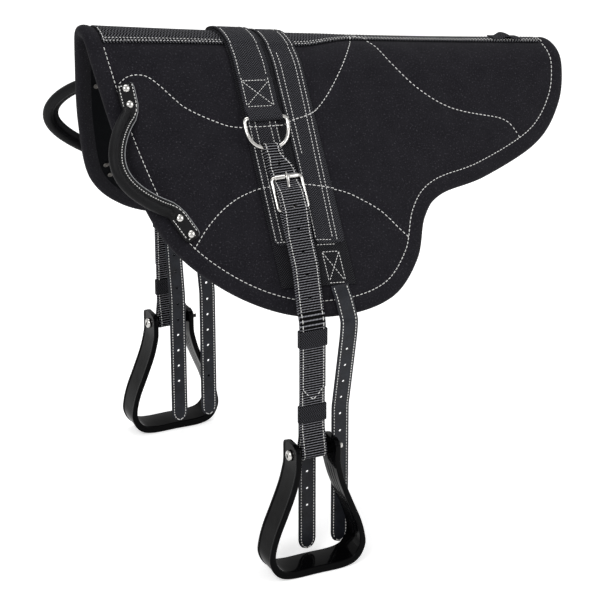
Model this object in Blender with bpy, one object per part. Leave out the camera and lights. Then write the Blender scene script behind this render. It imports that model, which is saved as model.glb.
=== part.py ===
"""Bareback pad for a horse, in metres, +Z up, front towards -X, left (near) side towards -Y.

The pad is a soft layered sheet folded over the horse's back. A point of it is given by its pattern
coordinates: x along the horse, s measured round the pad from the ridge (negative on the left side),
and lift above the outer face of the suede. Webbing bands cross the ridge and carry a D-ring on each
side; each D-ring carries an adjustable stirrup strap with a roller buckle, two keepers and a stirrup.
"""
import math

import bmesh
import bpy
import numpy as np
from mathutils import Vector
from mathutils.bvhtree import BVHTree

# Running and sewing clearance between neighbouring solids
GAP = 0.0003

# Shape of the folded pad
MID_X = 0.160
HALF_SPAN = 0.400
RIDGE_RADIUS_MID = 0.080
RIDGE_RADIUS_END = 0.028
FLAP_ANGLE_MID = math.radians(33.5)
FLAP_ANGLE_END = math.radians(22.0)
RIDGE_SLOPE = math.radians(7.87)
RIDGE_DIP = 0.0059

# Layers of the pad, from the outside in
COVER_T = 0.0020
FOAM_T = 0.0090
LINING_T = 0.0020
BORDER = 0.022
BORDER_BULGE = 0.0018

# Half outline of the pad pattern as (x, s), from the ridge at the front round to the ridge at the rear
OUTLINE = (
    (-0.227, 0.000), (-0.219, 0.085), (-0.201, 0.195), (-0.168, 0.305), (-0.105, 0.378),
    (-0.025, 0.421), (0.060, 0.427), (0.135, 0.404), (0.186, 0.352), (0.215, 0.291),
    (0.252, 0.257), (0.335, 0.229), (0.444, 0.174), (0.500, 0.114), (0.521, 0.055), (0.518, 0.000),
)
SHOULDER_S = 0.335
RIDGE_S = (0.0, 0.012, 0.024, 0.036, 0.050, 0.064, 0.079)
FLAP_ROWS = 8
BAND_COLUMNS = (-0.090, -0.030, 0.0255, 0.081)
BAND_COLUMNS_LOW = (-0.086, -0.030, 0.0255, 0.081)
FRONT_COLUMNS = 2
REAR_COLUMNS = 4

# Webbing that crosses the ridge
WEB_T = 0.0017
STRIP_T = 0.0018
STRIP_LIFT = 0.0005
STRIP_HALF_FRONT = 0.034
STRIP_HALF_REAR = 0.013
STRIP_TAPER_START = 0.085
STRIP_TAPER_END = 0.185
STRIP_MARGIN = 0.004
PANEL_FRONT_X = -0.028
PANEL_REAR_X = 0.079
PANEL_END_S = 0.386
BAND_W = 0.044
FRONT_BAND_X = -0.003
REAR_BAND_X = 0.055
BAND_END_S = 0.327
BAND_CORNER = 0.009
RING_BAND_W = 0.050
RING_TAIL_S = 0.094
LOOP_W = 0.022
LOOP_LENGTH = 0.046
LOOP_RISE = 0.005
LOOP_X = 0.440

# D-rings
RING_WIRE = 0.00275
RING_S = 0.147
RING_X = 0.0
RING_SKEW = -0.045
RING_HALF_W = 0.0315
RING_DEPTH = 0.043
RING_CORNER = 0.0055
RING_FULLNESS = 2.6

# Stirrup straps
STRAP_W = 0.038
STRAP_T = 0.0018
STRAP_X = -0.002
STRAP_DRIFT = ((0.196, 0.0), (0.224, 0.0105), (0.290, 0.0105), (0.360, 0.0085), (0.424, 0.0))
STRAP_BASE_TOP = 0.0044
STRAP_BASE_EDGE = 0.0130
STRAP_GATHER_HALF = 0.012
EDGE_S = 0.424
EDGE_BEND = 0.022
BOLT_Z = -0.517
TIP_Z = -0.437
TIP_POINT = 0.017
HOLE_PITCH = 0.032
HOLE_RADIUS = 0.0022
FIRST_HOLE_S = 0.213
HOLE_COUNT = 7

# Roller buckles
BUCKLE_TOP_S = 0.233
BUCKLE_HEEL_S = 0.279
BUCKLE_WIRE = 0.0024
BUCKLE_SIDE_CLEAR = 0.0011
BUCKLE_CORNER = 0.0042
ROLLER_T = 0.0007
ROLLER_LENGTH = 0.035
TONGUE_T = 0.0016
TONGUE_W = 0.0036
RETURN_END_S = 0.303

# Keepers, as the drop of their upper edge below the vertical part's start and above the bolt
KEEPER_LENGTH = 0.025
KEEPER_T = 0.0015
UPPER_KEEPER_DROP = 0.003
LOWER_KEEPER_ABOVE_BOLT = 0.071

# Stirrups
STIRRUP_DEPTH = 0.046
STIRRUP_WALL = 0.008
TREAD_T = 0.012
NECK_HALF = 0.030
STIRRUP_TOP = 0.018
STIRRUP_HEIGHT = 0.200
STIRRUP_HALF_W = 0.0705
STIRRUP_RIM = 0.0009
BOLT_RADIUS = 0.004
BOLT_HEAD_RADIUS = 0.008
BOLT_HEAD_T = 0.0038
BOLT_END = 0.009
NUT_RADIUS = 0.0075
NUT_T = 0.006
SLEEVE_RADIUS = 0.008

# Billets
BILLET_W = 0.027
BILLET_T = 0.0025
BILLET_SIT = 0.0022
BILLET_EDGE_S = 0.4315
FRONT_BILLET_X = 0.003
REAR_BILLET_X = 0.054
BILLET_CLEAR = 0.00171
BILLET_PLANE_Z = -0.470
BILLET_TIP_Z = -0.683
BILLET_POINT = 0.016
BILLET_HOLE_PITCH = 0.0265
BILLET_LAST_HOLE = 0.069
BILLET_HOLE_COUNT = 10
BILLET_HOLE_RADIUS = 0.0021

# Hand holds
UPPER_RIVETS = ((-0.184, 0.120), (-0.185, 0.098))
LOWER_RIVETS = ((-0.146, 0.279), (-0.135, 0.302))
HANDLE_BOW = 0.064
HANDLE_STAND = 0.042
HANDLE_RADIUS = 0.0075
HANDLE_FLANGE = 0.008
TAB_HALF_W = 0.0125
TAB_T = 0.0036
TAB_END = 0.008
TAB_START = 0.0078
TAB_LIFT = 0.0021
RIVET_RADIUS = 0.0053
RIVET_SHANK = 0.0018
RIVET_CAP_T = 0.0028
WASHER_T = 0.0012

SIDES = {"left": -1.0, "right": 1.0}


def clear_scene():
    """Empties the scene, so that it holds only what this file makes."""
    for item in list(bpy.data.objects):
        bpy.data.objects.remove(item, do_unlink=True)


def make_material(name, colour, roughness, metallic=0.0):
    """A Principled material with one colour."""
    material = bpy.data.materials.new(name)
    material.use_nodes = True
    shader = material.node_tree.nodes["Principled BSDF"]
    shader.inputs["Base Color"].default_value = (*colour, 1.0)
    shader.inputs["Roughness"].default_value = roughness
    shader.inputs["Metallic"].default_value = metallic
    return material


# Placing on the pad's surface

def span_share(x):
    """How far x lies from the middle of the ridge, as a share of the half span."""
    return (x - MID_X) / HALF_SPAN


def ridge_radius(x):
    """Radius of the fold at x, largest in the seat."""
    share = np.minimum(span_share(x) ** 2, 1.0)
    return RIDGE_RADIUS_END + (RIDGE_RADIUS_MID - RIDGE_RADIUS_END) * (1.0 - share)


def flap_angle(x):
    """Angle of the flaps from the vertical at x, widest in the seat."""
    share = np.minimum(span_share(x) ** 2, 1.0)
    return FLAP_ANGLE_END + (FLAP_ANGLE_MID - FLAP_ANGLE_END) * (1.0 - share)


PAD_T = COVER_T + FOAM_T + LINING_T + 2 * GAP


def ridge_height(x):
    """Height of the suede on the ridge at x; the lining under x = 0 is at the origin."""
    return PAD_T - math.tan(RIDGE_SLOPE) * x + RIDGE_DIP * (span_share(x) ** 2 - span_share(0.0) ** 2)


def place(x, s, lift):
    """Points for pattern coordinates x and s, raised by lift: an arc over the ridge, then a straight flap."""
    x, s, lift = np.broadcast_arrays(np.asarray(x, float), np.asarray(s, float), np.asarray(lift, float))
    radius = ridge_radius(x)
    lean = flap_angle(x)
    turn_end = math.pi / 2 - lean
    along = np.abs(s)
    turn = np.minimum(along / radius, turn_end)
    straight = np.maximum(along - radius * turn_end, 0.0)
    y = (radius + lift) * np.sin(turn) + straight * np.sin(lean)
    z = (radius + lift) * np.cos(turn) - radius - straight * np.cos(lean)
    return np.stack([x, np.where(s < 0, -y, y), ridge_height(x) + z], axis=-1)


# Making meshes

def finish_object(name, bm, material, origin=None, flat=False):
    """Makes an object of the mesh, with its origin at the given point."""
    bmesh.ops.remove_doubles(bm, verts=bm.verts, dist=1e-6)
    bmesh.ops.dissolve_degenerate(bm, dist=1e-7, edges=bm.edges)
    bmesh.ops.recalc_face_normals(bm, faces=bm.faces)
    mesh = bpy.data.meshes.new(name)
    if origin is not None:
        bmesh.ops.translate(bm, verts=bm.verts, vec=-Vector(origin))
    bm.to_mesh(mesh)
    bm.free()
    if not flat:
        mesh.shade_smooth()
        mesh.set_sharp_from_angle(angle=math.radians(35))
    mesh.materials.append(material)
    item = bpy.data.objects.new(name, mesh)
    if origin is not None:
        item.location = origin
    bpy.context.scene.collection.objects.link(item)
    return item


def add_grid(bm, points, closed=False):
    """Adds a grid of faces over the points [row][column]; closed joins the last row to the first."""
    rows = [[bm.verts.new(p) for p in row] for row in points]
    pairs = list(zip(rows[:-1], rows[1:]))
    if closed:
        pairs.append((rows[-1], rows[0]))
    for row, following in pairs:
        for i in range(len(row) - 1):
            bm.faces.new((row[i], row[i + 1], following[i + 1]))
            bm.faces.new((row[i], following[i + 1], following[i]))
    return rows


def sheet_solid(name, upper, lower, material, origin=None):
    """A closed solid between two grids of points of one shape."""
    bm = bmesh.new()
    top = add_grid(bm, upper)
    bottom = add_grid(bm, lower)
    rim_top = top[0] + [row[-1] for row in top[1:]] + top[-1][-2::-1] + [row[0] for row in top[-2:0:-1]]
    rim_low = (bottom[0] + [row[-1] for row in bottom[1:]] + bottom[-1][-2::-1]
               + [row[0] for row in bottom[-2:0:-1]])
    for i in range(len(rim_top)):
        j = (i + 1) % len(rim_top)
        bm.faces.new((rim_top[i], rim_low[i], rim_low[j], rim_top[j]))
    return finish_object(name, bm, material, origin)


def loft(name, rings, material, origin=None, closed=False, flat=False):
    """A solid through rings of points: closed joins the last ring to the first, otherwise both are capped."""
    bm = bmesh.new()
    rows = [list(ring) + [ring[0]] for ring in rings]
    verts = add_grid(bm, rows, closed)
    if not closed:
        bm.faces.new(verts[0][:-1])
        bm.faces.new(verts[-1][:-1])
    return finish_object(name, bm, material, origin, flat)


def tube(name, path, normal, radius, sides, material, origin=None):
    """A closed loop of round wire along a flat path with the given plane normal."""
    path = np.asarray(path)
    normal = np.asarray(normal)
    tangent = np.roll(path, -1, axis=0) - np.roll(path, 1, axis=0)
    tangent /= np.linalg.norm(tangent, axis=1, keepdims=True)
    outward = np.cross(tangent, normal)
    angles = np.linspace(0.0, 2 * math.pi, sides, endpoint=False)
    rings = [[p + radius * (math.cos(a) * o + math.sin(a) * normal) for a in angles]
             for p, o in zip(path, outward)]
    return loft(name, rings, material, origin, closed=True)


def turned(name, profile, centre, axis, segments, material, origin=None, flat=False):
    """A turned solid from (radius, distance along the axis) points, hollow if they start off axis."""
    axis = Vector(axis).normalized()
    first = axis.orthogonal().normalized()
    second = axis.cross(first)
    centre = Vector(centre)
    hollow = profile[0][0] > 0
    points = list(profile) + [profile[0]] if hollow else list(profile)
    rows = []
    for k in range(segments):
        angle = 2 * math.pi * k / segments
        spoke = math.cos(angle) * first + math.sin(angle) * second
        rows.append([centre + r * spoke + a * axis for r, a in points])
    bm = bmesh.new()
    add_grid(bm, rows, closed=True)
    return finish_object(name, bm, material, origin or tuple(centre), flat)


def mesh_tree(item):
    """A search tree over an object's own mesh, in world coordinates."""
    bm = bmesh.new()
    bm.from_mesh(item.data)
    bmesh.ops.translate(bm, verts=bm.verts, vec=item.location)
    tree = BVHTree.FromBMesh(bm)
    bm.free()
    return tree


def add_cylinder(bm, centre, axis, radius, length, segments=8):
    """Adds one closed cylinder to a cutter's mesh."""
    axis = Vector(axis).normalized()
    turn = axis.to_track_quat("Z", "Y").to_matrix().to_4x4()
    turn.translation = Vector(centre)
    bmesh.ops.create_cone(bm, cap_ends=True, segments=segments, radius1=radius, radius2=radius,
                          depth=length, matrix=turn)


def add_block(bm, corners):
    """Adds one closed block with eight corners, [0:4] below [4:8]."""
    verts = [bm.verts.new(c) for c in corners]
    for face in ((0, 1, 2, 3), (7, 6, 5, 4), (0, 4, 5, 1), (1, 5, 6, 2), (2, 6, 7, 3), (3, 7, 4, 0)):
        bm.faces.new([verts[i] for i in face])


def cut(items, bm, name):
    """Cuts the mesh from each item with a Boolean modifier."""
    bmesh.ops.recalc_face_normals(bm, faces=bm.faces)
    mesh = bpy.data.meshes.new(name)
    bm.to_mesh(mesh)
    bm.free()
    cutter = bpy.data.objects.new(name, mesh)
    cutter.hide_render = True
    cutter.display_type = "WIRE"
    bpy.context.scene.collection.objects.link(cutter)
    for item in items:
        modifier = item.modifiers.new("Cut", "BOOLEAN")
        modifier.operation = "DIFFERENCE"
        modifier.solver = "EXACT"
        modifier.object = cutter


def smooth_path(points, steps):
    """Catmull-Rom curve through the points, with the given number of steps in each span."""
    pts = np.asarray(points, float)
    pts = np.vstack([2 * pts[0] - pts[1], pts, 2 * pts[-1] - pts[-2]])
    t = np.linspace(0.0, 1.0, steps, endpoint=False)[:, None]
    spans = []
    for a, b, c, d in zip(pts[:-3], pts[1:-2], pts[2:-1], pts[3:]):
        spans.append(0.5 * (2 * b + (c - a) * t + (2 * a - 5 * b + 4 * c - d) * t ** 2
                            + (3 * b - a - 3 * c + d) * t ** 3))
    return np.vstack(spans + [pts[-2:-1]])


def even_points(curve, count):
    """Points at equal steps along a curve."""
    length = np.r_[0.0, np.cumsum(np.linalg.norm(np.diff(curve, axis=0), axis=1))]
    marks = np.linspace(0.0, length[-1], count)
    return np.stack([np.interp(marks, length, curve[:, i]) for i in range(curve.shape[1])], axis=1)


# The pad's edge, row by row

def pad_edge():
    """Front, rear and bottom points of the half outline, matched row by row, and their outward normals."""
    mirrored = [(OUTLINE[1][0], -OUTLINE[1][1])] + list(OUTLINE) + [(OUTLINE[-2][0], -OUTLINE[-2][1])]
    steps = 24
    curve = smooth_path(mirrored, steps)[steps:-steps]
    lowest = int(np.argmax(curve[:, 1]))
    front = curve[:lowest + 1]
    rear = curve[lowest:][::-1]
    rows = list(RIDGE_S)
    fall = rear[(rear[:, 1] >= RIDGE_S[-1]) & (rear[:, 1] <= SHOULDER_S)]
    rows += list(even_points(np.vstack([fall, [np.interp(SHOULDER_S, rear[:, 1], rear[:, 0]), SHOULDER_S]]),
                             FLAP_ROWS + 1)[1:, 1])
    rows = np.array(rows)
    front_x = np.interp(rows, front[:, 1], front[:, 0])
    rear_x = np.interp(rows, rear[:, 1], rear[:, 0])
    below = curve[(curve[:, 1] > SHOULDER_S)]
    bottom = np.vstack([[front_x[-1], SHOULDER_S], below, [rear_x[-1], SHOULDER_S]])
    ahead_part = bottom[bottom[:, 0] <= BAND_COLUMNS_LOW[0]]
    behind_part = bottom[bottom[:, 0] >= BAND_COLUMNS_LOW[-1]]
    middle = [(x, np.interp(x, bottom[:, 0], bottom[:, 1])) for x in BAND_COLUMNS_LOW]
    lead = even_points(np.vstack([ahead_part, middle[:1]]), FRONT_COLUMNS + 1)
    trail = even_points(np.vstack([middle[-1:], behind_part]), REAR_COLUMNS + 1)
    bottom = np.vstack([lead, middle[1:-1], trail])
    loop = np.vstack([np.c_[front_x, rows], bottom[1:-1], np.c_[rear_x, rows][::-1]])
    left = loop[1:-1][::-1] * (1.0, -1.0)
    whole = np.vstack([loop, left])
    ahead = np.roll(whole, -1, axis=0) - whole
    ahead /= np.linalg.norm(ahead, axis=1, keepdims=True)
    mean = ahead + np.roll(ahead, 1, axis=0)
    mean /= np.linalg.norm(mean, axis=1, keepdims=True)
    outward = np.c_[-mean[:, 1], mean[:, 0]]
    return whole, outward, len(rows)


COLUMNS = FRONT_COLUMNS + len(BAND_COLUMNS) - 1 + REAR_COLUMNS
EDGE_LOOP, EDGE_OUT, ROW_COUNT = pad_edge()


def row_columns(front, rear, level):
    """Points of one row between its front and rear ends, with fixed columns under the bands."""
    lead = np.linspace(front[0], BAND_COLUMNS[0], FRONT_COLUMNS + 1)
    trail = np.linspace(BAND_COLUMNS[-1], rear[0], REAR_COLUMNS + 1)
    x = np.concatenate([lead, BAND_COLUMNS[1:-1], trail])
    knots = (front[0], BAND_COLUMNS[0], BAND_COLUMNS[-1], rear[0])
    return np.stack([x, np.interp(x, knots, (front[1], level, level, rear[1]))], axis=1)


def pad_grid(inset):
    """Pattern grid of the whole pad, drawn in from its edge by inset."""
    loop = EDGE_LOOP - EDGE_OUT * inset
    half = 2 * ROW_COUNT + COLUMNS - 1
    right = loop[:half]
    left = np.vstack([loop[:1], loop[:half - 1:-1], loop[half - 1:half]])
    grids = []
    for side in (right, left):
        front = side[:ROW_COUNT]
        rear = side[half - ROW_COUNT:][::-1]
        levels = np.sign(front[-1, 1]) * EDGE_LOOP[:ROW_COUNT, 1]
        rows = np.array([row_columns(a, b, level) for a, b, level in zip(front, rear, levels)])
        bottom = np.vstack([side[ROW_COUNT - 1], side[ROW_COUNT:half - ROW_COUNT], side[half - ROW_COUNT]])
        middle = (rows[-1] + bottom) / 2
        grids.append(np.concatenate([rows, middle[None], bottom[None]]))
    return np.concatenate([grids[1][:0:-1], grids[0]])


def make_layer(name, top, thickness, material):
    """One layer of the pad between two lifts, inside the binding."""
    grid = pad_grid(BORDER + GAP)
    upper = place(grid[..., 0], grid[..., 1], top)
    lower = place(grid[..., 0], grid[..., 1], top - thickness)
    return sheet_solid(name, upper, lower, material)


def make_binding(material):
    """The rolled edge: one rounded section carried round the whole outline."""
    deep = -PAD_T
    section = (
        (-BORDER, 0.0), (-0.72 * BORDER, 0.8 * BORDER_BULGE), (-0.40 * BORDER, BORDER_BULGE),
        (-0.14 * BORDER, 0.2 * BORDER_BULGE), (0.0, 0.30 * deep), (0.0, 0.68 * deep),
        (-0.14 * BORDER, 1.0 * deep), (-0.40 * BORDER, deep - 0.5 * BORDER_BULGE), (-BORDER, deep),
    )
    rings = []
    for point, outward in zip(EDGE_LOOP, EDGE_OUT):
        spots = [point + outward * reach for reach, _ in section]
        lifts = [lift for _, lift in section]
        rings.append(place([p[0] for p in spots], [p[1] for p in spots], lifts))
    return loft("edge_binding", rings, material, closed=True)


# Bands over the ridge

def strip_half_width(x):
    """Half width of the spine strip, tapering behind the bands."""
    share = np.clip((x - STRIP_TAPER_START) / (STRIP_TAPER_END - STRIP_TAPER_START), 0.0, 1.0)
    return STRIP_HALF_FRONT + (STRIP_HALF_REAR - STRIP_HALF_FRONT) * share ** 2 * (3 - 2 * share)


def make_strip(material):
    """The spine strip, sewn along the ridge."""
    rear_index = 2 * ROW_COUNT + COLUMNS - 2
    front_edge = EDGE_LOOP[:ROW_COUNT]
    rear_edge = EDGE_LOOP[rear_index - ROW_COUNT + 1:rear_index + 1][::-1]
    inner = row_columns(front_edge[0] + (BORDER + GAP, 0.0), rear_edge[0] - (BORDER + GAP, 0.0), 0.0)[1:-1, 0]
    inner = np.sort(np.concatenate([inner, (inner[1:] + inner[:-1]) / 2]))
    widths = strip_half_width(np.concatenate([[inner[0]], inner, [inner[-1]]]))
    half = np.stack([np.minimum(level, share * widths) for level, share in
                     ((RIDGE_S[1], 0.4), (RIDGE_S[2], 0.75), (RIDGE_S[3], 1.0))], axis=1)
    s = np.hstack([-half[:, ::-1], np.zeros((len(widths), 1)), half])
    margin = BORDER + 4 * GAP
    start = np.interp(np.abs(s[0]), front_edge[:, 1], front_edge[:, 0]) + margin
    end = np.interp(np.abs(s[-1]), rear_edge[:, 1], rear_edge[:, 0]) - margin
    x = np.vstack([start, np.repeat(inner[:, None], 7, axis=1), end])
    return sheet_solid("spine_strip", place(x, s, STRIP_LIFT + STRIP_T), place(x, s, STRIP_LIFT), material)


def over_strip(s):
    """Rise of a band where it passes over the spine strip."""
    clear = STRIP_HALF_FRONT + STRIP_MARGIN / 2
    share = np.clip((np.abs(s) - clear) / STRIP_MARGIN, 0.0, 1.0)
    return (STRIP_LIFT + STRIP_T) * (1.0 - share)


def band_rows(end):
    """Places s at which a band bends, from one end over the ridge to the other."""
    half = [s for s in EDGE_LOOP[:ROW_COUNT, 1] if s < end - 0.008] + [RIDGE_S[3] + STRIP_MARGIN, end]
    if end > SHOULDER_S:
        half.append((SHOULDER_S + end) / 2)
    return np.array(sorted({round(v, 6) for v in half} | {round(-v, 6) for v in half}))


def make_band(name, x0, x1, end, base, thickness, material, corner=0.0):
    """A flat band over the ridge, its ends square or with rounded corners."""
    rows = band_rows(end)
    if corner > 0:
        cuts = corner * (1 - np.cos(np.linspace(0.0, math.pi / 2, 5)[1:-1]))
        rows = np.array(sorted(list(rows) + [end - corner, corner - end]
                               + list(end - cuts) + list(cuts - end)))
    to_end = end - np.abs(rows)
    short = np.maximum(corner - to_end, 0.0)
    pull = corner - np.sqrt(np.maximum(corner ** 2 - short ** 2, 0.0))
    left = x0 + np.minimum(pull, 0.92 * corner)
    right = x1 - np.minimum(pull, 0.92 * corner)
    x = np.stack([left, (left + right) / 2, right], axis=1)
    s = np.repeat(rows[:, None], 3, axis=1)
    lift = base + over_strip(s)
    return sheet_solid(name, place(x, s, lift + thickness), place(x, s, lift), material)


PANEL_TOP = GAP + WEB_T
BAND_TOP = PANEL_TOP + GAP + WEB_T
RING_BAND_LIFT = BAND_TOP + GAP + WEB_T / 2


def ribbon_points(path, thickness):
    """Upper and lower lines of a ribbon that follows a path of (along, lift) points."""
    path = np.asarray(path, float)
    step = np.diff(path, axis=0)
    step /= np.linalg.norm(step, axis=1, keepdims=True)
    before = np.vstack([step[:1], step])
    after = np.vstack([step, step[-1:]])
    normal = np.c_[-(before + after)[:, 1], (before + after)[:, 0]]
    normal *= 2.0 / np.maximum(np.sum(normal ** 2, axis=1, keepdims=True), 2.6)
    half = np.broadcast_to(np.asarray(thickness) / 2, (len(path),))[:, None]
    return path + normal * half, path - normal * half


def arc(centre, radius, start, end, steps):
    """Points of an arc in the (along, lift) plane, angles in degrees."""
    angles = np.radians(np.linspace(start, end, steps))
    return [(centre[0] + radius * math.cos(a), centre[1] + radius * math.sin(a)) for a in angles]


def strap_base(s):
    """Lift of the strap's under face along the flap."""
    share = (s - RING_S - RING_DEPTH) / (EDGE_S - RING_S - RING_DEPTH)
    return STRAP_BASE_TOP + (STRAP_BASE_EDGE - STRAP_BASE_TOP) * share


BOW_S = RING_S + RING_DEPTH
STRAP_LOOP = RING_WIRE + GAP + STRAP_T / 2 + 0.0009
RING_LIFT = strap_base(BOW_S) + STRAP_T / 2 + STRAP_LOOP


def make_ring_band(material):
    """The top band over the ridge, each end folded round a D-ring's bar and back under itself."""
    wrap = RING_WIRE + GAP + WEB_T / 2
    upper = RING_BAND_LIFT + WEB_T + GAP
    half = [(RING_TAIL_S, RING_BAND_LIFT), (RING_TAIL_S + 0.03, RING_BAND_LIFT),
            (RING_S - 0.008, RING_BAND_LIFT + 0.0003)]
    half += arc((RING_S, RING_LIFT), wrap, -90, 112, 10)
    half += [(RING_S - 0.0150, RING_LIFT - 0.0017), (RING_S - 0.0235, upper + 0.0001),
             (RING_TAIL_S - 0.002, upper), (RING_TAIL_S - 0.012, RING_BAND_LIFT)]
    for s in band_rows(RIDGE_S[-1])[::-1]:
        if s >= 0:
            half.append((float(s), float(RING_BAND_LIFT + over_strip(s))))
    path = [(-s, lift) for s, lift in half] + half[-2::-1]
    over, under = ribbon_points(path, WEB_T)
    x = np.array([-RING_BAND_W / 2, FRONT_BAND_X, FRONT_BAND_X + BAND_W / 2, RING_BAND_W / 2])[None, :]

    def laid(line):
        along = np.abs(line[:, :1])
        skew = RING_SKEW * x * np.clip((along - RIDGE_S[-1]) / (RING_TAIL_S - RIDGE_S[-1]), 0.0, 1.0)
        return place(x, np.sign(line[:, :1]) * (along + skew), line[:, 1:])
    return sheet_solid("ring_webbing", laid(over), laid(under), material)


def make_loop(material):
    """The low loop on the ridge at the rear, humped in its middle."""
    base = STRIP_LIFT + STRIP_T + 2 * GAP
    share = np.linspace(0.0, 1.0, 9)
    x = LOOP_X + LOOP_LENGTH * (share - 0.5)
    lift = base + LOOP_RISE * np.sin(math.pi * np.clip((share - 0.2) / 0.6, 0.0, 1.0)) ** 2
    across = np.linspace(-0.5, 0.5, 5)[None, :] * LOOP_W
    return sheet_solid("crupper_loop", place(x[:, None], across, lift[:, None] + WEB_T),
                       place(x[:, None], across, lift[:, None]), material)


# D-rings

def ring_frame(side):
    """Centre of a D-ring's bar, and its directions along the bar, down the flap and out of it."""
    reach = RING_BAND_W / 2
    ends = [place(RING_X + x, side * (RING_S + RING_SKEW * x), RING_LIFT) for x in (-reach, reach)]
    centre = (place(RING_X, side * RING_S, RING_LIFT) + (ends[0] + ends[1]) / 2) / 2
    bar = ends[1] - ends[0]
    bar /= np.linalg.norm(bar)
    down = place(RING_X, side * (RING_S + RING_DEPTH), RING_LIFT) - centre
    down -= bar * down.dot(bar)
    down /= np.linalg.norm(down)
    return centre, bar, down, np.cross(bar, down) * -side


def make_ring(side_name, material):
    """A D-ring: a straight bar, short corners and a full bow."""
    side = SIDES[side_name]
    centre, bar, down, out = ring_frame(side)
    flat = np.linspace(-RING_HALF_W + RING_CORNER, RING_HALF_W - RING_CORNER, 3)
    path = [(u, 0.0) for u in flat]
    angles = np.linspace(-90.0, 0.0, 5)[1:-1]
    right_corner = [(RING_HALF_W - RING_CORNER + RING_CORNER * math.cos(math.radians(a)),
                     RING_CORNER + RING_CORNER * math.sin(math.radians(a))) for a in angles]
    bow = []
    for a in np.radians(np.linspace(0.0, 180.0, 15)):
        power = 2.0 / RING_FULLNESS
        bow.append((math.copysign(abs(math.cos(a)) ** power, math.cos(a)) * RING_HALF_W,
                    RING_CORNER + (RING_DEPTH - RING_CORNER) * abs(math.sin(a)) ** power))
    left_corner = [(-u, v) for u, v in right_corner[::-1]]
    points = [centre + u * bar + v * down for u, v in path + right_corner + bow + left_corner]
    return tube(side_name + "_d_ring", points, out, RING_WIRE, 8, material, origin=tuple(centre))


# The hanging line of a stirrup strap

BOW_SLANT = ring_frame(1.0)[1][1:] / ring_frame(1.0)[1][0]
EDGE_POINT = place(STRAP_X, EDGE_S, 0.0)
EDGE_LEAN = float(flap_angle(STRAP_X))
BEND_LENGTH = EDGE_BEND * EDGE_LEAN
BEND_CENTRE = (EDGE_POINT[1] - EDGE_BEND * math.cos(EDGE_LEAN),
               EDGE_POINT[2] - EDGE_BEND * math.sin(EDGE_LEAN))
DROP_START_S = EDGE_S + BEND_LENGTH


def drop_s(z):
    """Distance along the hanging line at which its vertical part reaches height z."""
    return DROP_START_S + BEND_CENTRE[1] - z


def hang(x, s, height, side):
    """Points of the strap: x across it, s along it and height above its under face."""
    x, s, height = np.broadcast_arrays(np.asarray(x, float), np.asarray(s, float), np.asarray(height, float))
    lift = height + strap_base(np.clip(s, RING_S, EDGE_S))
    middle = STRAP_X + np.interp(s, *np.transpose(STRAP_DRIFT))
    on_flap = place(middle, np.minimum(s, EDGE_S), lift)
    angle = EDGE_LEAN * (1.0 - np.clip((s - EDGE_S) / BEND_LENGTH, 0.0, 1.0))
    fall = np.maximum(s - DROP_START_S, 0.0)
    y = BEND_CENTRE[0] + (EDGE_BEND + lift) * np.cos(angle)
    z = BEND_CENTRE[1] + (EDGE_BEND + lift) * np.sin(angle) - fall
    beyond = s > EDGE_S
    y = np.where(beyond, y, on_flap[..., 1])
    z = np.where(beyond, z, on_flap[..., 2])
    slant = x * np.clip((BUCKLE_TOP_S - 0.010 - s) / (BUCKLE_TOP_S - 0.014 - BOW_S), 0.0, 1.0)
    return np.stack([middle + x, side * (y + slant * BOW_SLANT[0]), z + slant * BOW_SLANT[1]], axis=-1)


BACK = STRAP_T / 2
MIDDLE = BACK + STRAP_T + GAP
OUTER = MIDDLE + STRAP_T + GAP
HEEL_HEIGHT = MIDDLE + STRAP_T / 2 + GAP + BUCKLE_WIRE
ROLLER_RADIUS = BUCKLE_WIRE + GAP + ROLLER_T
TOP_BAR_HEIGHT = MIDDLE + STRAP_T / 2 + GAP + ROLLER_RADIUS
HEEL_WRAP = BUCKLE_WIRE + GAP + STRAP_T / 2
OVER_HEEL = HEEL_HEIGHT + HEEL_WRAP + STRAP_T + GAP
BOLT_HEIGHT = (BACK + MIDDLE) / 2
SLEEVE_WRAP = SLEEVE_RADIUS + GAP + STRAP_T / 2
BOLT_S = drop_s(BOLT_Z)
TIP_S = drop_s(TIP_Z)


def strap_path():
    """The strap's one run as (s, height), from its buckle end round the bolt and the bow to its tip."""
    reach = 4.6 * SLEEVE_RADIUS
    meet = math.degrees(math.atan2(MIDDLE - BOLT_HEIGHT, -reach)
                        - math.acos(SLEEVE_WRAP / math.hypot(reach, MIDDLE - BOLT_HEIGHT)))
    path = [(RETURN_END_S, OUTER), (RETURN_END_S - 0.008, OUTER), (BUCKLE_HEEL_S + 0.008, OUTER + 0.0012),
            (BUCKLE_HEEL_S + 0.003, HEEL_HEIGHT + HEEL_WRAP - 0.0002)]
    path += arc((BUCKLE_HEEL_S, HEEL_HEIGHT), HEEL_WRAP, 90, 270, 9)
    path += [(BUCKLE_HEEL_S + 0.012, MIDDLE)]
    path += [(s, MIDDLE) for s in np.linspace(BUCKLE_HEEL_S + 0.03, EDGE_S, 5)]
    path += [(EDGE_S + BEND_LENGTH * k, MIDDLE) for k in (0.33, 0.67, 1.0)]
    path += [(BOLT_S - reach - 0.004, MIDDLE), (BOLT_S - reach + 0.004, MIDDLE + 0.0007)]
    path += arc((BOLT_S, BOLT_HEIGHT), SLEEVE_WRAP, meet, -meet, 13)
    path += [(BOLT_S - reach + 0.004, BACK - 0.0007), (BOLT_S - reach - 0.004, BACK)]
    path += [(EDGE_S + BEND_LENGTH * k, BACK) for k in (1.0, 0.67, 0.33)]
    path += [(s, BACK) for s in np.linspace(EDGE_S, BOW_S + 0.01, 7)]
    bow_height = RING_LIFT - strap_base(BOW_S)
    path += arc((BOW_S - 0.0007, bow_height), STRAP_LOOP, 270, 90, 9)
    path += front_run()
    return path


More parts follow.
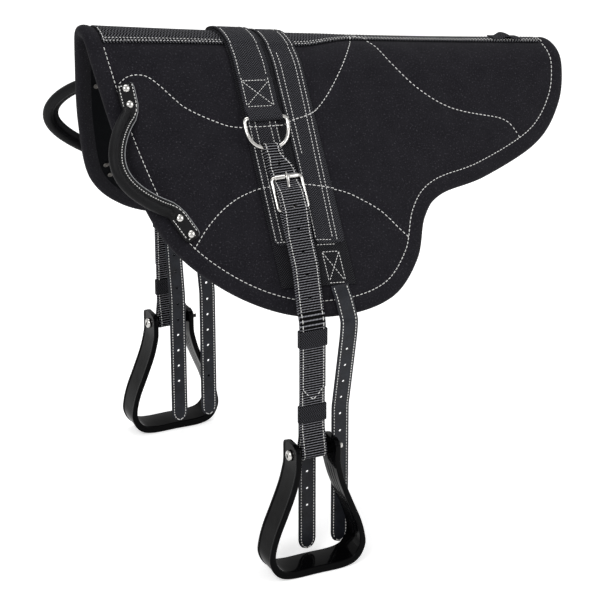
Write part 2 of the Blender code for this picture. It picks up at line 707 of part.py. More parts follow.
def front_run():
    """The outer run from the bow through the buckle to the tip, as (s, height)."""
    crossing = BUCKLE_TOP_S + 0.27 * (BUCKLE_HEEL_S - BUCKLE_TOP_S)
    run = [(BOW_S + 0.006, RING_LIFT - strap_base(BOW_S) + STRAP_LOOP - 0.0010),
           (BUCKLE_TOP_S - 0.018, MIDDLE + 0.0030), (BUCKLE_TOP_S - 0.011, MIDDLE + 0.0007),
           (BUCKLE_TOP_S - 0.005, MIDDLE), (BUCKLE_TOP_S + 0.001, MIDDLE),
           (BUCKLE_TOP_S + 0.005, MIDDLE + 0.0006), (crossing, MIDDLE + 0.45 * (OVER_HEEL - MIDDLE)),
           (crossing + 0.010, OVER_HEEL + 0.0002), (BUCKLE_HEEL_S - 0.008, OVER_HEEL + 0.0006),
           (BUCKLE_HEEL_S + 0.003, OVER_HEEL + 0.0004), (BUCKLE_HEEL_S + 0.014, OUTER + 0.0046),
           (RETURN_END_S + 0.0015, OUTER + STRAP_T + GAP + 0.0003), (RETURN_END_S + 0.014, OUTER)]
    curve = list(map(tuple, smooth_path(run, 2)))
    curve += [(s, OUTER) for s in np.linspace(RETURN_END_S + 0.03, EDGE_S, 4)]
    curve += [(EDGE_S + BEND_LENGTH * k, OUTER) for k in (0.33, 0.67, 1.0)]
    curve += [(TIP_S - TIP_POINT, OUTER), (TIP_S - 0.6 * TIP_POINT, OUTER), (TIP_S - 0.25 * TIP_POINT, OUTER),
              (TIP_S, OUTER)]
    return curve


def make_strap(side_name, material):
    """A stirrup strap, gathered where it passes over the D-ring and pointed at its tip."""
    side = SIDES[side_name]
    path = np.array(strap_path())
    over, under = ribbon_points(path, STRAP_T)
    s = path[:, 0]
    gathered = np.clip((s - BOW_S - 0.008) / (BUCKLE_TOP_S - 0.012 - BOW_S - 0.008), 0.0, 1.0)
    half = STRAP_GATHER_HALF + (STRAP_W / 2 - STRAP_GATHER_HALF) * gathered
    near_tip = (np.arange(len(s)) >= len(s) - 4)
    to_tip = np.where(near_tip, np.clip((TIP_S - s) / TIP_POINT, 0.0, 1.0), 1.0)
    half = half * (0.12 + 0.88 * to_tip ** 0.7)
    x = np.stack([-half, half], axis=1)
    pivot = tuple(hang(0.0, BOW_S, RING_LIFT - strap_base(BOW_S), side))
    strap = sheet_solid(side_name + "_stirrup_strap", hang(x, over[:, :1], over[:, 1:], side),
                        hang(x, under[:, :1], under[:, 1:], side), material, origin=pivot)
    bm = bmesh.new()
    run = np.array(front_run())
    slot_index = 1
    for k in range(HOLE_COUNT):
        hole_s = FIRST_HOLE_S + k * HOLE_PITCH
        height = float(np.interp(hole_s, run[:, 0], run[:, 1]))
        if k == slot_index:
            continue
        slope = float(np.interp(hole_s + 0.001, run[:, 0], run[:, 1])) - height
        across = hang(0.0, hole_s - slope, height + 0.001, side) - hang(0.0, hole_s, height, side)
        add_cylinder(bm, hang(0.0, hole_s, height, side), across, HOLE_RADIUS, STRAP_T + GAP)
    half_slot = TONGUE_W / 2 + 0.0007
    crossing = BUCKLE_TOP_S + 0.27 * (BUCKLE_HEEL_S - BUCKLE_TOP_S)
    for s0, s1, low, high in (
            (crossing - 0.006, crossing + 0.011, MIDDLE - STRAP_T / 2 - GAP / 2, OVER_HEEL + STRAP_T),
            (BUCKLE_HEEL_S - HEEL_WRAP - STRAP_T, BUCKLE_HEEL_S + 0.012, HEEL_HEIGHT - BUCKLE_WIRE - 0.0022,
             OVER_HEEL - STRAP_T / 2 - GAP / 2)):
        corners = [hang(x, s_, h, side) for h in (low, high)
                   for x, s_ in ((-half_slot, s0), (half_slot, s0), (half_slot, s1), (-half_slot, s1))]
        add_block(bm, corners)
    cut([strap], bm, side_name + "_strap_punch")
    return strap


def make_buckle(side_name, metal):
    """Frame, tongue and roller of a buckle."""
    side = SIDES[side_name]
    half = STRAP_W / 2 + BUCKLE_SIDE_CLEAR + BUCKLE_WIRE
    corners = [(half, BUCKLE_TOP_S, 180, 270), (half, BUCKLE_HEEL_S, 270, 360),
               (-half, BUCKLE_HEEL_S, 0, 90), (-half, BUCKLE_TOP_S, 90, 180)]
    path = []
    for x, s, _, _ in corners:
        cx = x - math.copysign(BUCKLE_CORNER, x)
        cs = s + BUCKLE_CORNER if s == BUCKLE_TOP_S else s - BUCKLE_CORNER
        first = math.atan2(0, x - cx) if (x > 0) == (s == BUCKLE_HEEL_S) else math.atan2(s - cs, 0)
        angles = np.linspace(0.0, math.pi / 2, 4)
        if (x > 0) == (s == BUCKLE_HEEL_S):
            spots = [(math.cos(a) * (x - cx), math.sin(a) * (s - cs)) for a in angles]
        else:
            spots = [(math.sin(a) * (x - cx), math.cos(a) * (s - cs)) for a in angles]
        path += [(cx + u, cs + v) for u, v in spots]
    def height(s):
        share = (s - BUCKLE_TOP_S) / (BUCKLE_HEEL_S - BUCKLE_TOP_S)
        return TOP_BAR_HEIGHT + (HEEL_HEIGHT - TOP_BAR_HEIGHT) * share
    points = np.array([hang(x, s, height(s), side) for x, s in path])
    normal = np.cross(points[3] - points[0], points[6] - points[0])
    normal /= np.linalg.norm(normal)
    heel = hang(0.0, BUCKLE_HEEL_S, HEEL_HEIGHT, side)
    tube(side_name + "_buckle_frame", points, normal, BUCKLE_WIRE, 8, metal, origin=tuple(heel))
    top = hang(0.0, BUCKLE_TOP_S, TOP_BAR_HEIGHT, side)
    bore = BUCKLE_WIRE + GAP
    length = ROLLER_LENGTH / 2
    turned(side_name + "_buckle_roller", [(bore, -length), (ROLLER_RADIUS, -length), (ROLLER_RADIUS, length),
                                          (bore, length)], top, (1, 0, 0), 16, metal)
    eye = BUCKLE_WIRE + GAP + TONGUE_T / 2
    over_roller = TOP_BAR_HEIGHT + ROLLER_RADIUS + GAP + TONGUE_T / 2
    path = arc((BUCKLE_HEEL_S, HEEL_HEIGHT), eye, 178, 450, 12)
    arm = [(BUCKLE_HEEL_S, HEEL_HEIGHT + eye), (BUCKLE_HEEL_S - 0.010, HEEL_HEIGHT + eye - 0.0012),
           (BUCKLE_HEEL_S - 0.022, HEEL_HEIGHT + eye - 0.0016),
           (BUCKLE_TOP_S + 0.014, HEEL_HEIGHT + eye - 0.0006),
           (BUCKLE_TOP_S + 0.006, over_roller - 0.0002), (BUCKLE_TOP_S, over_roller + 0.0004),
           (BUCKLE_TOP_S - 0.006, over_roller - 0.0008)]
    path += list(map(tuple, smooth_path(arm, 2)))[1:]
    over, under = ribbon_points(path, TONGUE_T)
    x = np.array([-TONGUE_W / 2, TONGUE_W / 2])[None, :]
    sheet_solid(side_name + "_buckle_tongue", hang(x, over[:, :1], over[:, 1:], side),
                hang(x, under[:, :1], under[:, 1:], side), metal, origin=tuple(heel))


def make_keeper(side_name, name, top_s, layers, material):
    """A woven keeper: a flat loop round the strap's layers."""
    side = SIDES[side_name]
    half = STRAP_W / 2 + 0.0005
    low = -GAP
    high = layers * STRAP_T + (layers - 1) * GAP + 2 * GAP
    end_s = top_s + KEEPER_LENGTH
    loops = []
    for index, (x, h) in enumerate(((half, low), (half, high), (-half, high), (-half, low))):
        flat = (math.copysign(1.0, x), 0.0)
        upright = (0.0, 1.0 if h == high else -1.0)
        first, last = (upright, flat) if index in (0, 2) else (flat, upright)
        middle = ((first[0] + last[0]) * 0.707, (first[1] + last[1]) * 0.707)
        for u, v in (first, middle, last):
            out_x, out_h = x + u * KEEPER_T, h + v * KEEPER_T
            loops.append([hang(out_x, top_s, out_h, side), hang(out_x, end_s, out_h, side),
                          hang(x, end_s, h, side), hang(x, top_s, h, side)])
    centre = tuple(hang(0.0, top_s + KEEPER_LENGTH / 2, (low + high) / 2, side))
    return loft(side_name + name, loops, material, origin=centre, closed=True)


# Stirrups

def stirrup_line():
    """Centre line of the stirrup's wall in its own plane, as (x, z) below the bolt."""
    low = STIRRUP_TOP - STIRRUP_HEIGHT + TREAD_T / 2
    wide = STIRRUP_HALF_W
    neck = NECK_HALF
    half = [(neck, -0.013), (neck + 0.0015, -0.024), (neck + 0.2 * (wide - neck), 0.28 * low),
            (neck + 0.5 * (wide - neck), 0.46 * low), (neck + 0.8 * (wide - neck), 0.63 * low),
            (wide - 0.0015, 0.77 * low), (wide - 0.0015, 0.87 * low), (wide - 0.012, 0.965 * low),
            (wide - 0.032, low), (0.0, low)]
    curve = np.vstack([[(neck, STIRRUP_TOP), (neck, STIRRUP_TOP - 0.0045), (neck, STIRRUP_TOP - 0.009)],
                       smooth_path(half, 3)[:-1]])
    on_tread = (curve[:, 0] < wide - 0.031) & (curve[:, 1] < 0.95 * low)
    curve[:, 1] = np.where(on_tread, low, curve[:, 1])
    return np.vstack([curve, (curve * (-1.0, 1.0))[::-1]])


def make_stirrup(side_name, plastic, metal):
    """A bell-shaped moulded stirrup with its bolt, nut and sleeve."""
    side = SIDES[side_name]
    bolt = hang(0.0, BOLT_S, BOLT_HEIGHT, side)
    line = stirrup_line()
    tangent = np.gradient(line, axis=0)
    tangent /= np.linalg.norm(tangent, axis=1, keepdims=True)
    outward = np.c_[-tangent[:, 1], tangent[:, 0]]
    deep = STIRRUP_DEPTH / 2
    rings = []
    for (x, z), (ox, oz) in zip(line, outward):
        low = STIRRUP_TOP - STIRRUP_HEIGHT
        share = min(max((z - 0.75 * low) / (0.25 * low), 0.0), 1.0)
        wall = (STIRRUP_WALL + (TREAD_T - STIRRUP_WALL) * share) / 2
        crown = min(max((z - STIRRUP_TOP + 0.009) / 0.009, 0.0), 1.0)
        depth = deep - 0.010 * (1 - math.sqrt(max(1 - crown ** 2, 0.0)))
        section = ((-depth, -wall), (depth, -wall), (depth, 0.7 * wall), (depth - 0.0015, wall),
                   (depth - 0.005, wall), (depth - 0.0065, wall - STIRRUP_RIM),
                   (-depth + 0.0065, wall - STIRRUP_RIM),
                   (-depth + 0.005, wall), (-depth + 0.0015, wall), (-depth, 0.7 * wall))
        rings.append([(bolt[0] + x + ox * w, bolt[1] + d, bolt[2] + z + oz * w) for d, w in section])
    stirrup = loft(side_name + "_stirrup", rings, plastic, origin=tuple(bolt))
    bm = bmesh.new()
    add_cylinder(bm, bolt, (1, 0, 0), BOLT_RADIUS + GAP, 3 * NECK_HALF, 16)
    cut([stirrup], bm, side_name + "_stirrup_bore")
    face = NECK_HALF + STIRRUP_WALL / 2 + GAP
    end = face + NUT_T + BOLT_END - NUT_T / 2
    dome = [(0.0, -face - BOLT_HEAD_T), (0.45 * BOLT_HEAD_RADIUS, -face - 0.9 * BOLT_HEAD_T),
            (0.85 * BOLT_HEAD_RADIUS, -face - 0.55 * BOLT_HEAD_T),
            (BOLT_HEAD_RADIUS, -face - 0.15 * BOLT_HEAD_T),
            (BOLT_HEAD_RADIUS, -face)]
    shank = [(BOLT_RADIUS, -face), (BOLT_RADIUS, end - 0.001), (BOLT_RADIUS - 0.001, end), (0.0, end)]
    turned(side_name + "_stirrup_bolt", dome + shank, bolt, (1, 0, 0), 16, metal)
    bore = BOLT_RADIUS + 2 * GAP
    rings = []
    for k in range(12):
        angle = math.radians(30 * k)
        reach = NUT_RADIUS * (1.0 if k % 2 == 0 else math.cos(math.radians(30)))
        rings.append([(bolt[0] + a, bolt[1] + r * math.cos(angle), bolt[2] + r * math.sin(angle))
                      for r, a in ((bore, face), (bore, face + NUT_T), (reach, face + NUT_T), (reach, face))])
    loft(side_name + "_bolt_nut", rings, metal, origin=tuple(bolt), closed=True, flat=True)
    bore = BOLT_RADIUS + GAP
    reach = NECK_HALF - STIRRUP_WALL / 2 - GAP
    turned(side_name + "_bolt_sleeve", [(bore, -reach), (SLEEVE_RADIUS, -reach), (SLEEVE_RADIUS, reach),
                                       (bore, reach)], bolt, (1, 0, 0), 16, plastic)


# Billets

def make_billet(side_name, place_name, x, leather):
    """A billet: its sewn end over the border and its hanging, punched length."""
    side = SIDES[side_name]
    half = BILLET_W / 2
    over_border = BORDER_BULGE + BILLET_SIT + BILLET_T / 2
    at_panel = GAP + BILLET_T / 2
    across = np.array([-half, half])[None, :]
    s = np.array([PANEL_END_S + GAP, PANEL_END_S + 0.008, PANEL_END_S + 0.018, BILLET_EDGE_S])
    lift = np.array([at_panel, at_panel + 0.0002, over_border - 0.0003, over_border])
    square = np.array([0.0, 0.0, 0.7, 1.0])[:, None, None]
    faces = []
    for offset in (BILLET_T / 2, -BILLET_T / 2):
        laid = place(x + across, side * s[:, None], lift[:, None] + offset)
        straight = place(x, side * s[:, None], lift[:, None] + offset) + across.T * (1.0, 0.0, 0.0)
        faces.append(laid * (1 - square) + straight * square)
    up, down = faces
    sheet_solid("%s_%s_billet_end" % (side_name, place_name), up, down, leather)
    pivot_s = BILLET_EDGE_S + GAP + BILLET_T / 2
    start = place(x, pivot_s, over_border)
    lean = float(flap_angle(x))
    fall = np.array((math.sin(lean), -math.cos(lean)))
    begin = np.array((start[1], start[2]))
    bolt_y = hang(0.0, BOLT_S, BOLT_HEIGHT, 1.0)[1]
    plane_y = bolt_y - STIRRUP_DEPTH / 2 - BILLET_CLEAR - BILLET_T / 2
    line = smooth_path([begin, begin + 0.003 * fall, begin + (0.0020, -0.010), begin + (0.0008, -0.021),
                        begin + (-0.0022, -0.038), (plane_y, BILLET_PLANE_Z)], 2)
    line = np.vstack([begin - 0.98 * BILLET_T / 2 * fall, begin - 0.75 * BILLET_T / 2 * fall, line])
    tail = [BILLET_TIP_Z + BILLET_POINT, BILLET_TIP_Z + 0.55 * BILLET_POINT,
            BILLET_TIP_Z + 0.2 * BILLET_POINT, BILLET_TIP_Z]
    line = np.vstack([line, [(plane_y, z) for z in [(BILLET_PLANE_Z + BILLET_TIP_Z) / 2] + tail]])
    thick = np.full(len(line), BILLET_T)
    thick[:2] = (0.2 * BILLET_T, 0.66 * BILLET_T)
    over, under = ribbon_points(line, thick)
    widths = np.full(len(line), half)
    widths[-3:] = half * np.array([0.86, 0.55, 0.14])
    xs = np.stack([x - widths, x + widths], axis=1)

    def solid(points):
        y = np.repeat(points[:, :1], 2, axis=1) * side
        z = np.repeat(points[:, 1:], 2, axis=1)
        return np.stack([xs, y, z], axis=-1)
    billet = sheet_solid("%s_%s_billet" % (side_name, place_name), solid(over), solid(under), leather,
                         origin=(x, side * start[1], start[2]))
    bm = bmesh.new()
    for k in range(BILLET_HOLE_COUNT):
        z = BILLET_TIP_Z + BILLET_LAST_HOLE + k * BILLET_HOLE_PITCH
        y = float(np.interp(-z, -line[:, 1], line[:, 0]))
        add_cylinder(bm, (x, side * y, z), (0, 1, 0), BILLET_HOLE_RADIUS, 3 * BILLET_T, 6)
    cut([billet], bm, "%s_%s_billet_punch" % (side_name, place_name))


# Hand holds

def face_distance(tree, start, direction, side_step, radius, nearest):
    """Distance from start to the mesh along a direction, over a disc's rim and centre."""
    along = Vector(direction).normalized()
    first = Vector(side_step).normalized()
    second = along.cross(first)
    found = []
    for k in range(9):
        angle = math.pi * k / 4
        reach = radius if k else 0.0
        spot = Vector(start) + (math.cos(angle) * first + math.sin(angle) * second) * reach
        hit = tree.ray_cast(spot, along)
        found.append(hit[3])
    return min(found) if nearest else max(found)


def make_handle(side_name, leather, metal, lining):
    """A rolled hand hold with flat riveted ends; returns where its rivets pass through the pad."""
    side = SIDES[side_name]
    flat = TAB_LIFT + TAB_T / 2
    tabs = []
    for inner, outer in (UPPER_RIVETS, LOWER_RIVETS):
        inner = np.array(inner)
        outer = np.array(outer)
        away = (outer - inner) / np.linalg.norm(outer - inner)
        tabs.append((outer + away * TAB_END, outer, inner, inner - away * TAB_START))
    top = tabs[0][3]
    bottom = tabs[1][3]
    chord = (bottom - top) / np.linalg.norm(bottom - top)
    ahead = np.array([-chord[1], chord[0]])
    spots = []
    for k in np.linspace(0.0, 1.0, 15)[1:-1]:
        bow = math.sin(math.pi * k)
        full = bow ** 0.75
        spots.append((top + (bottom - top) * k + ahead * HANDLE_BOW * full,
                      flat + HANDLE_STAND * full, min(1.0, 4 * bow)))
    upper = [(p, flat, 0.0) for p in tabs[0]]
    lower = [(p, flat, 0.0) for p in tabs[1][::-1]]
    stations = upper + spots + lower
    centres = np.array([[*place(p[0], side * p[1], lift)] for p, lift, _ in stations])
    step = np.diff(centres, axis=0)
    step /= np.linalg.norm(step, axis=1, keepdims=True)
    tangent = np.vstack([step[:1], step]) + np.vstack([step, step[-1:]])
    tangent[3] = step[2]
    tangent[-4] = step[-3]
    tangent /= np.linalg.norm(tangent, axis=1, keepdims=True)
    rings = []
    for (point, lift, round_share), centre, along in zip(stations, centres, tangent):
        outward = place(point[0], side * point[1], lift + 0.001) - place(point[0], side * point[1], lift)
        outward /= np.linalg.norm(outward)
        across = np.cross(outward, along) * side
        across /= np.linalg.norm(across)
        outward = np.cross(along, across) * side
        wide = TAB_HALF_W + (HANDLE_RADIUS - TAB_HALF_W) * round_share
        thick = TAB_T / 2 + (HANDLE_RADIUS - TAB_T / 2) * round_share
        ring = []
        for a in np.radians(np.linspace(0.0, 360.0, 10, endpoint=False)):
            power = 0.45 + 0.55 * round_share
            u = math.copysign(abs(math.cos(a)) ** power, math.cos(a)) * wide
            v = math.copysign(abs(math.sin(a)) ** power, math.sin(a)) * thick
            if abs(a - math.pi) < 0.01:
                u -= HANDLE_FLANGE * round_share
            ring.append(centre + across * u + outward * v)
        rings.append(ring)
    handle = loft(side_name + "_handle", rings, leather)
    holes = []
    for end_name, pair in (("upper", UPPER_RIVETS), ("lower", LOWER_RIVETS)):
        for name, spot in zip(("inner", "outer"), pair):
            holes.append(("%s_%s_%s_rivet" % (side_name, end_name, name), spot, side))
    tops = mesh_tree(handle)
    inside = mesh_tree(lining)
    high = 0.020
    for name, spot, _ in holes:
        face = place(spot[0], side * spot[1], 0.0)
        out = (place(spot[0], side * spot[1], 0.001) - face) * 1000.0
        tab_top = high + GAP - face_distance(tops, face + out * high, -out, (1, 0, 0), RIVET_RADIUS, True)
        depth = face_distance(inside, face - out * 0.040, out, (1, 0, 0), RIVET_RADIUS, True)
        back = depth - 0.040 - GAP
        turned(name, [(0.0, tab_top + RIVET_CAP_T), (0.6 * RIVET_RADIUS, tab_top + 0.8 * RIVET_CAP_T),
                      (RIVET_RADIUS, tab_top + 0.25 * RIVET_CAP_T), (RIVET_RADIUS, tab_top),
                      (RIVET_SHANK, tab_top),
                      (RIVET_SHANK, back), (0.8 * RIVET_RADIUS, back), (0.8 * RIVET_RADIUS, back - WASHER_T),
                      (0.0, back - WASHER_T)], face, out, 8, metal)
    return handle, holes


def main():
    """Builds the whole pad."""
    clear_scene()
    suede = make_material("black_suede", (0.010, 0.010, 0.011), 0.92)
    felt = make_material("black_felt_lining", (0.018, 0.018, 0.019), 0.95)
    foam = make_material("grey_foam", (0.12, 0.12, 0.12), 0.9)
    webbing = make_material("black_ribbed_webbing", (0.014, 0.014, 0.016), 0.7)
    strip = make_material("dark_grey_webbing", (0.055, 0.055, 0.06), 0.75)
    leather = make_material("black_leather", (0.012, 0.011, 0.012), 0.45)
    plastic = make_material("black_moulded_plastic", (0.006, 0.006, 0.007), 0.2)
    nickel = make_material("nickel_plate", (0.72, 0.71, 0.69), 0.25, 1.0)

    cover = make_layer("suede_cover", 0.0, COVER_T, suede)
    core = make_layer("foam_core", -COVER_T - GAP, FOAM_T, foam)
    lining = make_layer("underside_lining", -COVER_T - FOAM_T - 2 * GAP, LINING_T, felt)
    make_binding(suede)
    make_strip(strip)
    make_loop(webbing)
    make_band("rigging_panel", PANEL_FRONT_X, PANEL_REAR_X, PANEL_END_S, GAP, WEB_T, webbing)
    for name, middle in (("front_webbing", FRONT_BAND_X), ("rear_webbing", REAR_BAND_X)):
        make_band(name, middle - BAND_W / 2, middle + BAND_W / 2, BAND_END_S, PANEL_TOP + GAP, WEB_T,
                  webbing, BAND_CORNER)
    make_ring_band(webbing)
    bm = bmesh.new()
    handles = []
    for side_name, side in SIDES.items():
        handle, holes = make_handle(side_name, leather, nickel, lining)
        handles.append(handle)
        for _, spot, _ in holes:
            face = place(spot[0], side * spot[1], 0.0)
            out = place(spot[0], side * spot[1], 0.001) - face
            add_cylinder(bm, face, out, RIVET_SHANK + GAP, 3 * PAD_T)
        make_ring(side_name, nickel)
        make_strap(side_name, webbing)
        make_buckle(side_name, nickel)
        make_keeper(side_name, "_upper_keeper", DROP_START_S + UPPER_KEEPER_DROP, 3, webbing)
        make_keeper(side_name, "_lower_keeper", BOLT_S - LOWER_KEEPER_ABOVE_BOLT, 2, webbing)
        make_stirrup(side_name, plastic, nickel)
        make_billet(side_name, "front", FRONT_BILLET_X, leather)
        make_billet(side_name, "rear", REAR_BILLET_X, leather)
    cut([cover, core, lining] + handles, bm, "rivet_punch")


main()
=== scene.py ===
"""Looks of the bareback pad, in metres, +Z up, front towards -X, near side towards -Y.

A point of the pad is given as in its pattern: x along the horse, s measured round the pad from the ridge,
and lift above the outer face of the suede. Every piece is a profile carried along a path, or a surface of
two parameters, and its "pattern" map holds the same two distances in metres, for weaves and naps.
"""
import math

import bmesh
import bpy
import numpy as np
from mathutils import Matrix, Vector


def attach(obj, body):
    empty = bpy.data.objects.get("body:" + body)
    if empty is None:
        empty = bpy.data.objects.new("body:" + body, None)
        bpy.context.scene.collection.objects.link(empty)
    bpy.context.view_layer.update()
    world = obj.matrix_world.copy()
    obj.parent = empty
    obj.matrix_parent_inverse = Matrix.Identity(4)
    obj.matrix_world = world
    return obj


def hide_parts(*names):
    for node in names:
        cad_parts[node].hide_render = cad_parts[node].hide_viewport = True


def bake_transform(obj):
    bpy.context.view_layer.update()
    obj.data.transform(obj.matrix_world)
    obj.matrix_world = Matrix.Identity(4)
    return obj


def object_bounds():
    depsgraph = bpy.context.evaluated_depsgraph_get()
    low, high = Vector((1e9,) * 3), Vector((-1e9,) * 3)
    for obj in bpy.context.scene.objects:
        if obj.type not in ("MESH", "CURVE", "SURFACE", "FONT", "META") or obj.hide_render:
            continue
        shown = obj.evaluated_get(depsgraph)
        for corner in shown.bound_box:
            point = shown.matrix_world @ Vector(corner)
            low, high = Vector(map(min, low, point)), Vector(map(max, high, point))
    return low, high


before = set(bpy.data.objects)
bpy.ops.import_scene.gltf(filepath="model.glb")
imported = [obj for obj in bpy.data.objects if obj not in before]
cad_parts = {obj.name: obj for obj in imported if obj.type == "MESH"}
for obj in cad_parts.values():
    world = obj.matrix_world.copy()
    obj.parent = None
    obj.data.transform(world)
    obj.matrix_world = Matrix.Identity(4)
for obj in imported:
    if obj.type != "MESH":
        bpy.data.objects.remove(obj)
CAD_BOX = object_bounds()

SIDES = {"left": -1.0, "right": 1.0}
GAP = 0.0003

# The folded pad: its lean in degrees and ridge radius at the ends, and what the seat adds to them
MID_X = 0.160
HALF_SPAN = 0.400
END_LEAN = 22.0
SEAT_LEAN_GAIN = 11.5
END_RADIUS = 0.028
SEAT_RADIUS_GAIN = 0.052
RIDGE_FALL = 7.87
SEAT_DIP = 0.0059
PAD_T = 0.0136
BORDER = 0.022
ROLL_REACH = 0.0226
SEAM_SINK = 0.0011
SWELL = 0.0019
WAVES = 0.0009
EVEN_ROWS_S = 0.352
# Half outline as (x, s), in millimetres brought to metres
OUTLINE = 0.001 * np.array([
    (-227, 0), (-219, 85), (-201, 195), (-168, 305), (-105, 378), (-25, 421), (60, 427), (135, 404),
    (186, 352), (215, 291), (252, 257), (335, 229), (444, 174), (500, 114), (521, 55), (518, 0)])

# Webbing over the ridge
WEB_T = 0.0017
STRIP_T = 0.0018
STRIP_LIFT = 0.0005
STRIP_HALF = (0.034, 0.013)
STRIP_TAPER = (0.085, 0.185)
PANEL_X = (-0.028, 0.079)
PANEL_END_S = 0.386
BAND_W = 0.044
FRONT_BAND_X = -0.003
REAR_BAND_X = 0.055
BAND_END_S = 0.327
BAND_CORNER = 0.009
BILLET_BOX = (0.0400, 0.0640, 0.339, 0.383)
LOOP_X = 0.440
LOOP_LENGTH = 0.046
LOOP_RISE = 0.005
LOOP_W = 0.022
RING_BAND_W = 0.050
RING_TAIL_S = 0.094
RING_SLANT_S = 0.079
PANEL_TOP = GAP + WEB_T
BAND_TOP = PANEL_TOP + GAP + WEB_T
RING_BAND_LIFT = BAND_TOP + GAP + WEB_T / 2

# D-rings
RING_WIRE = 0.00275
RING_S = 0.147
RING_SKEW = -0.045
RING_HALF_W = 0.0315
RING_DEPTH = 0.043
RING_CORNER = 0.0055
BOW_POWER = 2.6
BOW_SLACK = 0.0009

# Stirrup straps, buckles and keepers
STRAP_W = 0.038
STRAP_T = 0.0018
STRAP_X = -0.002
STRAP_DRIFT = ((0.196, 0.0), (0.224, 0.0105), (0.290, 0.0105), (0.360, 0.0085), (0.424, 0.0))
EDGE_S = 0.424
EDGE_BEND = 0.022
BOLT_Z = -0.517
TIP_Z = -0.437
TIP_POINT = 0.017
HOLE_PITCH = 0.032
FIRST_HOLE_S = 0.213
HOLE_COUNT = 7
# This hole lies in the buckle, filled by the tongue, and isn't cut
BUCKLED_HOLE = 1
STRAP_HOLE_RADIUS = 0.0026
STRAP_SEAM_INSET = 0.0036
GATHERED_HALF = 0.012
BUCKLE_TOP_S = 0.233
BUCKLE_HEEL_S = 0.279
BUCKLE_WIRE = 0.0024
BUCKLE_SLACK = 0.0011
BUCKLE_CORNER = 0.0042
ROLLER_T = 0.0007
ROLLER_HALF = 0.0175
TONGUE_T = 0.0016
RETURN_END_S = 0.303
KEEPER_LENGTH = 0.025
KEEPER_T = 0.0015
KEEPER_SLACK = 0.0005

# Stirrups
STIRRUP_DEPTH = 0.046
STIRRUP_WALL = 0.008
TREAD_T = 0.012
NECK_HALF = 0.030
STIRRUP_TOP = 0.018
STIRRUP_HEIGHT = 0.200
STIRRUP_HALF_W = 0.0705
SLEEVE_RADIUS = 0.008
BOLT_RADIUS = 0.004
BOLT_HEAD_RADIUS = 0.008
SOCKET_RADIUS = 0.0032
BOLT_OVERRUN = 0.012
RIM_W = 0.0045
RIM_RISE = 0.0010
GROOVES = (-0.009, 0.0, 0.009)
GROOVE_DEPTH = 0.0008
TREAD_DISH = 0.0012

# Billets
BILLET_W = 0.027
BILLET_T = 0.0025
BILLETS = {"front": 0.003, "rear": 0.054}
BILLET_EDGE_S = 0.4315
BILLET_PLANE_Y = 0.2372
BILLET_PLANE_Z = -0.470
BILLET_TIP_Z = -0.683
BILLET_POINT = 0.016
BILLET_LAST_HOLE = 0.069
BILLET_HOLE_PITCH = 0.0265
BILLET_HOLES = 10
BILLET_HOLE_RADIUS = 0.0021
BILLET_SEAM_INSET = 0.0038

# Hand holds
RIVETS = {"upper": ((-0.184, 0.120), (-0.185, 0.098)), "lower": ((-0.146, 0.279), (-0.135, 0.302))}
HANDLE_BOW = 0.064
HANDLE_STAND = 0.042
HANDLE_RADIUS = 0.0075
HANDLE_FLANGE = 0.008
FLANGE_LIFT = 0.0015
TAB_HALF_W = 0.0125
TAB_T = 0.0036
TAB_LIFT = 0.0021
RIVET_RADIUS = 0.0053
SHANK_RADIUS = 0.0018
CAP_T = 0.0028
WASHER_DEPTH = 0.004

# Stitches: about four to the inch, drawn a little thicker than the real 1 mm thread so that they show
STITCH_PITCH = 0.0066
STITCH_LENGTH = 0.0050
FINE_PITCH = 0.0045
FINE_LENGTH = 0.0033
SPINE_PITCH = 0.0052
SPINE_LENGTH = 0.0027
THREAD_RADIUS = 0.00060
FINE_RADIUS = 0.00050

# Stage
CAMERA_AZIMUTH = -25.34
CAMERA_ELEVATION = 22.0
CAMERA_AIM = (0.1043, 0.0, -0.4058)
CAMERA_DISTANCE = 3.244
CAMERA_LENS = 130.74
LAMP_AIM = (0.1, 0.0, -0.35)
FLOOR_SIZE = 24.0
FLOOR_GLOW = 0.52


# Materials

def colour(code):
    """Linear colour of an sRGB hex code: c / 12.92 up to c = 0.04045, then ((c + 0.055) / 1.055) ** 2.4."""
    parts = [int(code[i:i + 2], 16) / 255 for i in (0, 2, 4)]
    return (*[c / 12.92 if c <= 0.04045 else ((c + 0.055) / 1.055) ** 2.4 for c in parts], 1.0)


def add(tree, kind, inputs=None, **settings):
    """Adds a node with its settings; each input takes a value, or an output to link."""
    item = tree.nodes.new(kind)
    for key, value in settings.items():
        setattr(item, key, value)
    for key, value in (inputs or {}).items():
        if isinstance(value, bpy.types.NodeSocket):
            tree.links.new(value, item.inputs[key])
        else:
            item.inputs[key].default_value = value
    return item


def new_material(name, **values):
    """A Principled material with these values on its own sockets, and its node tree."""
    item = bpy.data.materials.new(name)
    item.use_nodes = True
    shader = item.node_tree.nodes["Principled BSDF"]
    for key, value in values.items():
        shader.inputs[key.replace("_", " ")].default_value = value
    return item, item.node_tree


def blend_colour(tree, share, first, second):
    """Mix of two colours, or of an output and a colour."""
    mix = add(tree, "ShaderNodeMix", {0: share}, data_type="RGBA")
    for index, value in ((6, first), (7, second)):
        if isinstance(value, str):
            mix.inputs[index].default_value = colour(value)
        else:
            tree.links.new(value, mix.inputs[index])
    return mix.outputs[2]


def stretch(tree, value, low, high, to_low=0.0, to_high=1.0):
    """Maps a value's span to another, clamped."""
    return add(tree, "ShaderNodeMapRange", {0: value, 1: low, 2: high, 3: to_low, 4: to_high}).outputs[0]


def calc(tree, operation, *values):
    """One Math node."""
    return add(tree, "ShaderNodeMath", dict(enumerate(values)), operation=operation).outputs[0]


def pattern_map(tree):
    """The piece's own map, in metres."""
    return add(tree, "ShaderNodeUVMap", uv_map="pattern").outputs[0]


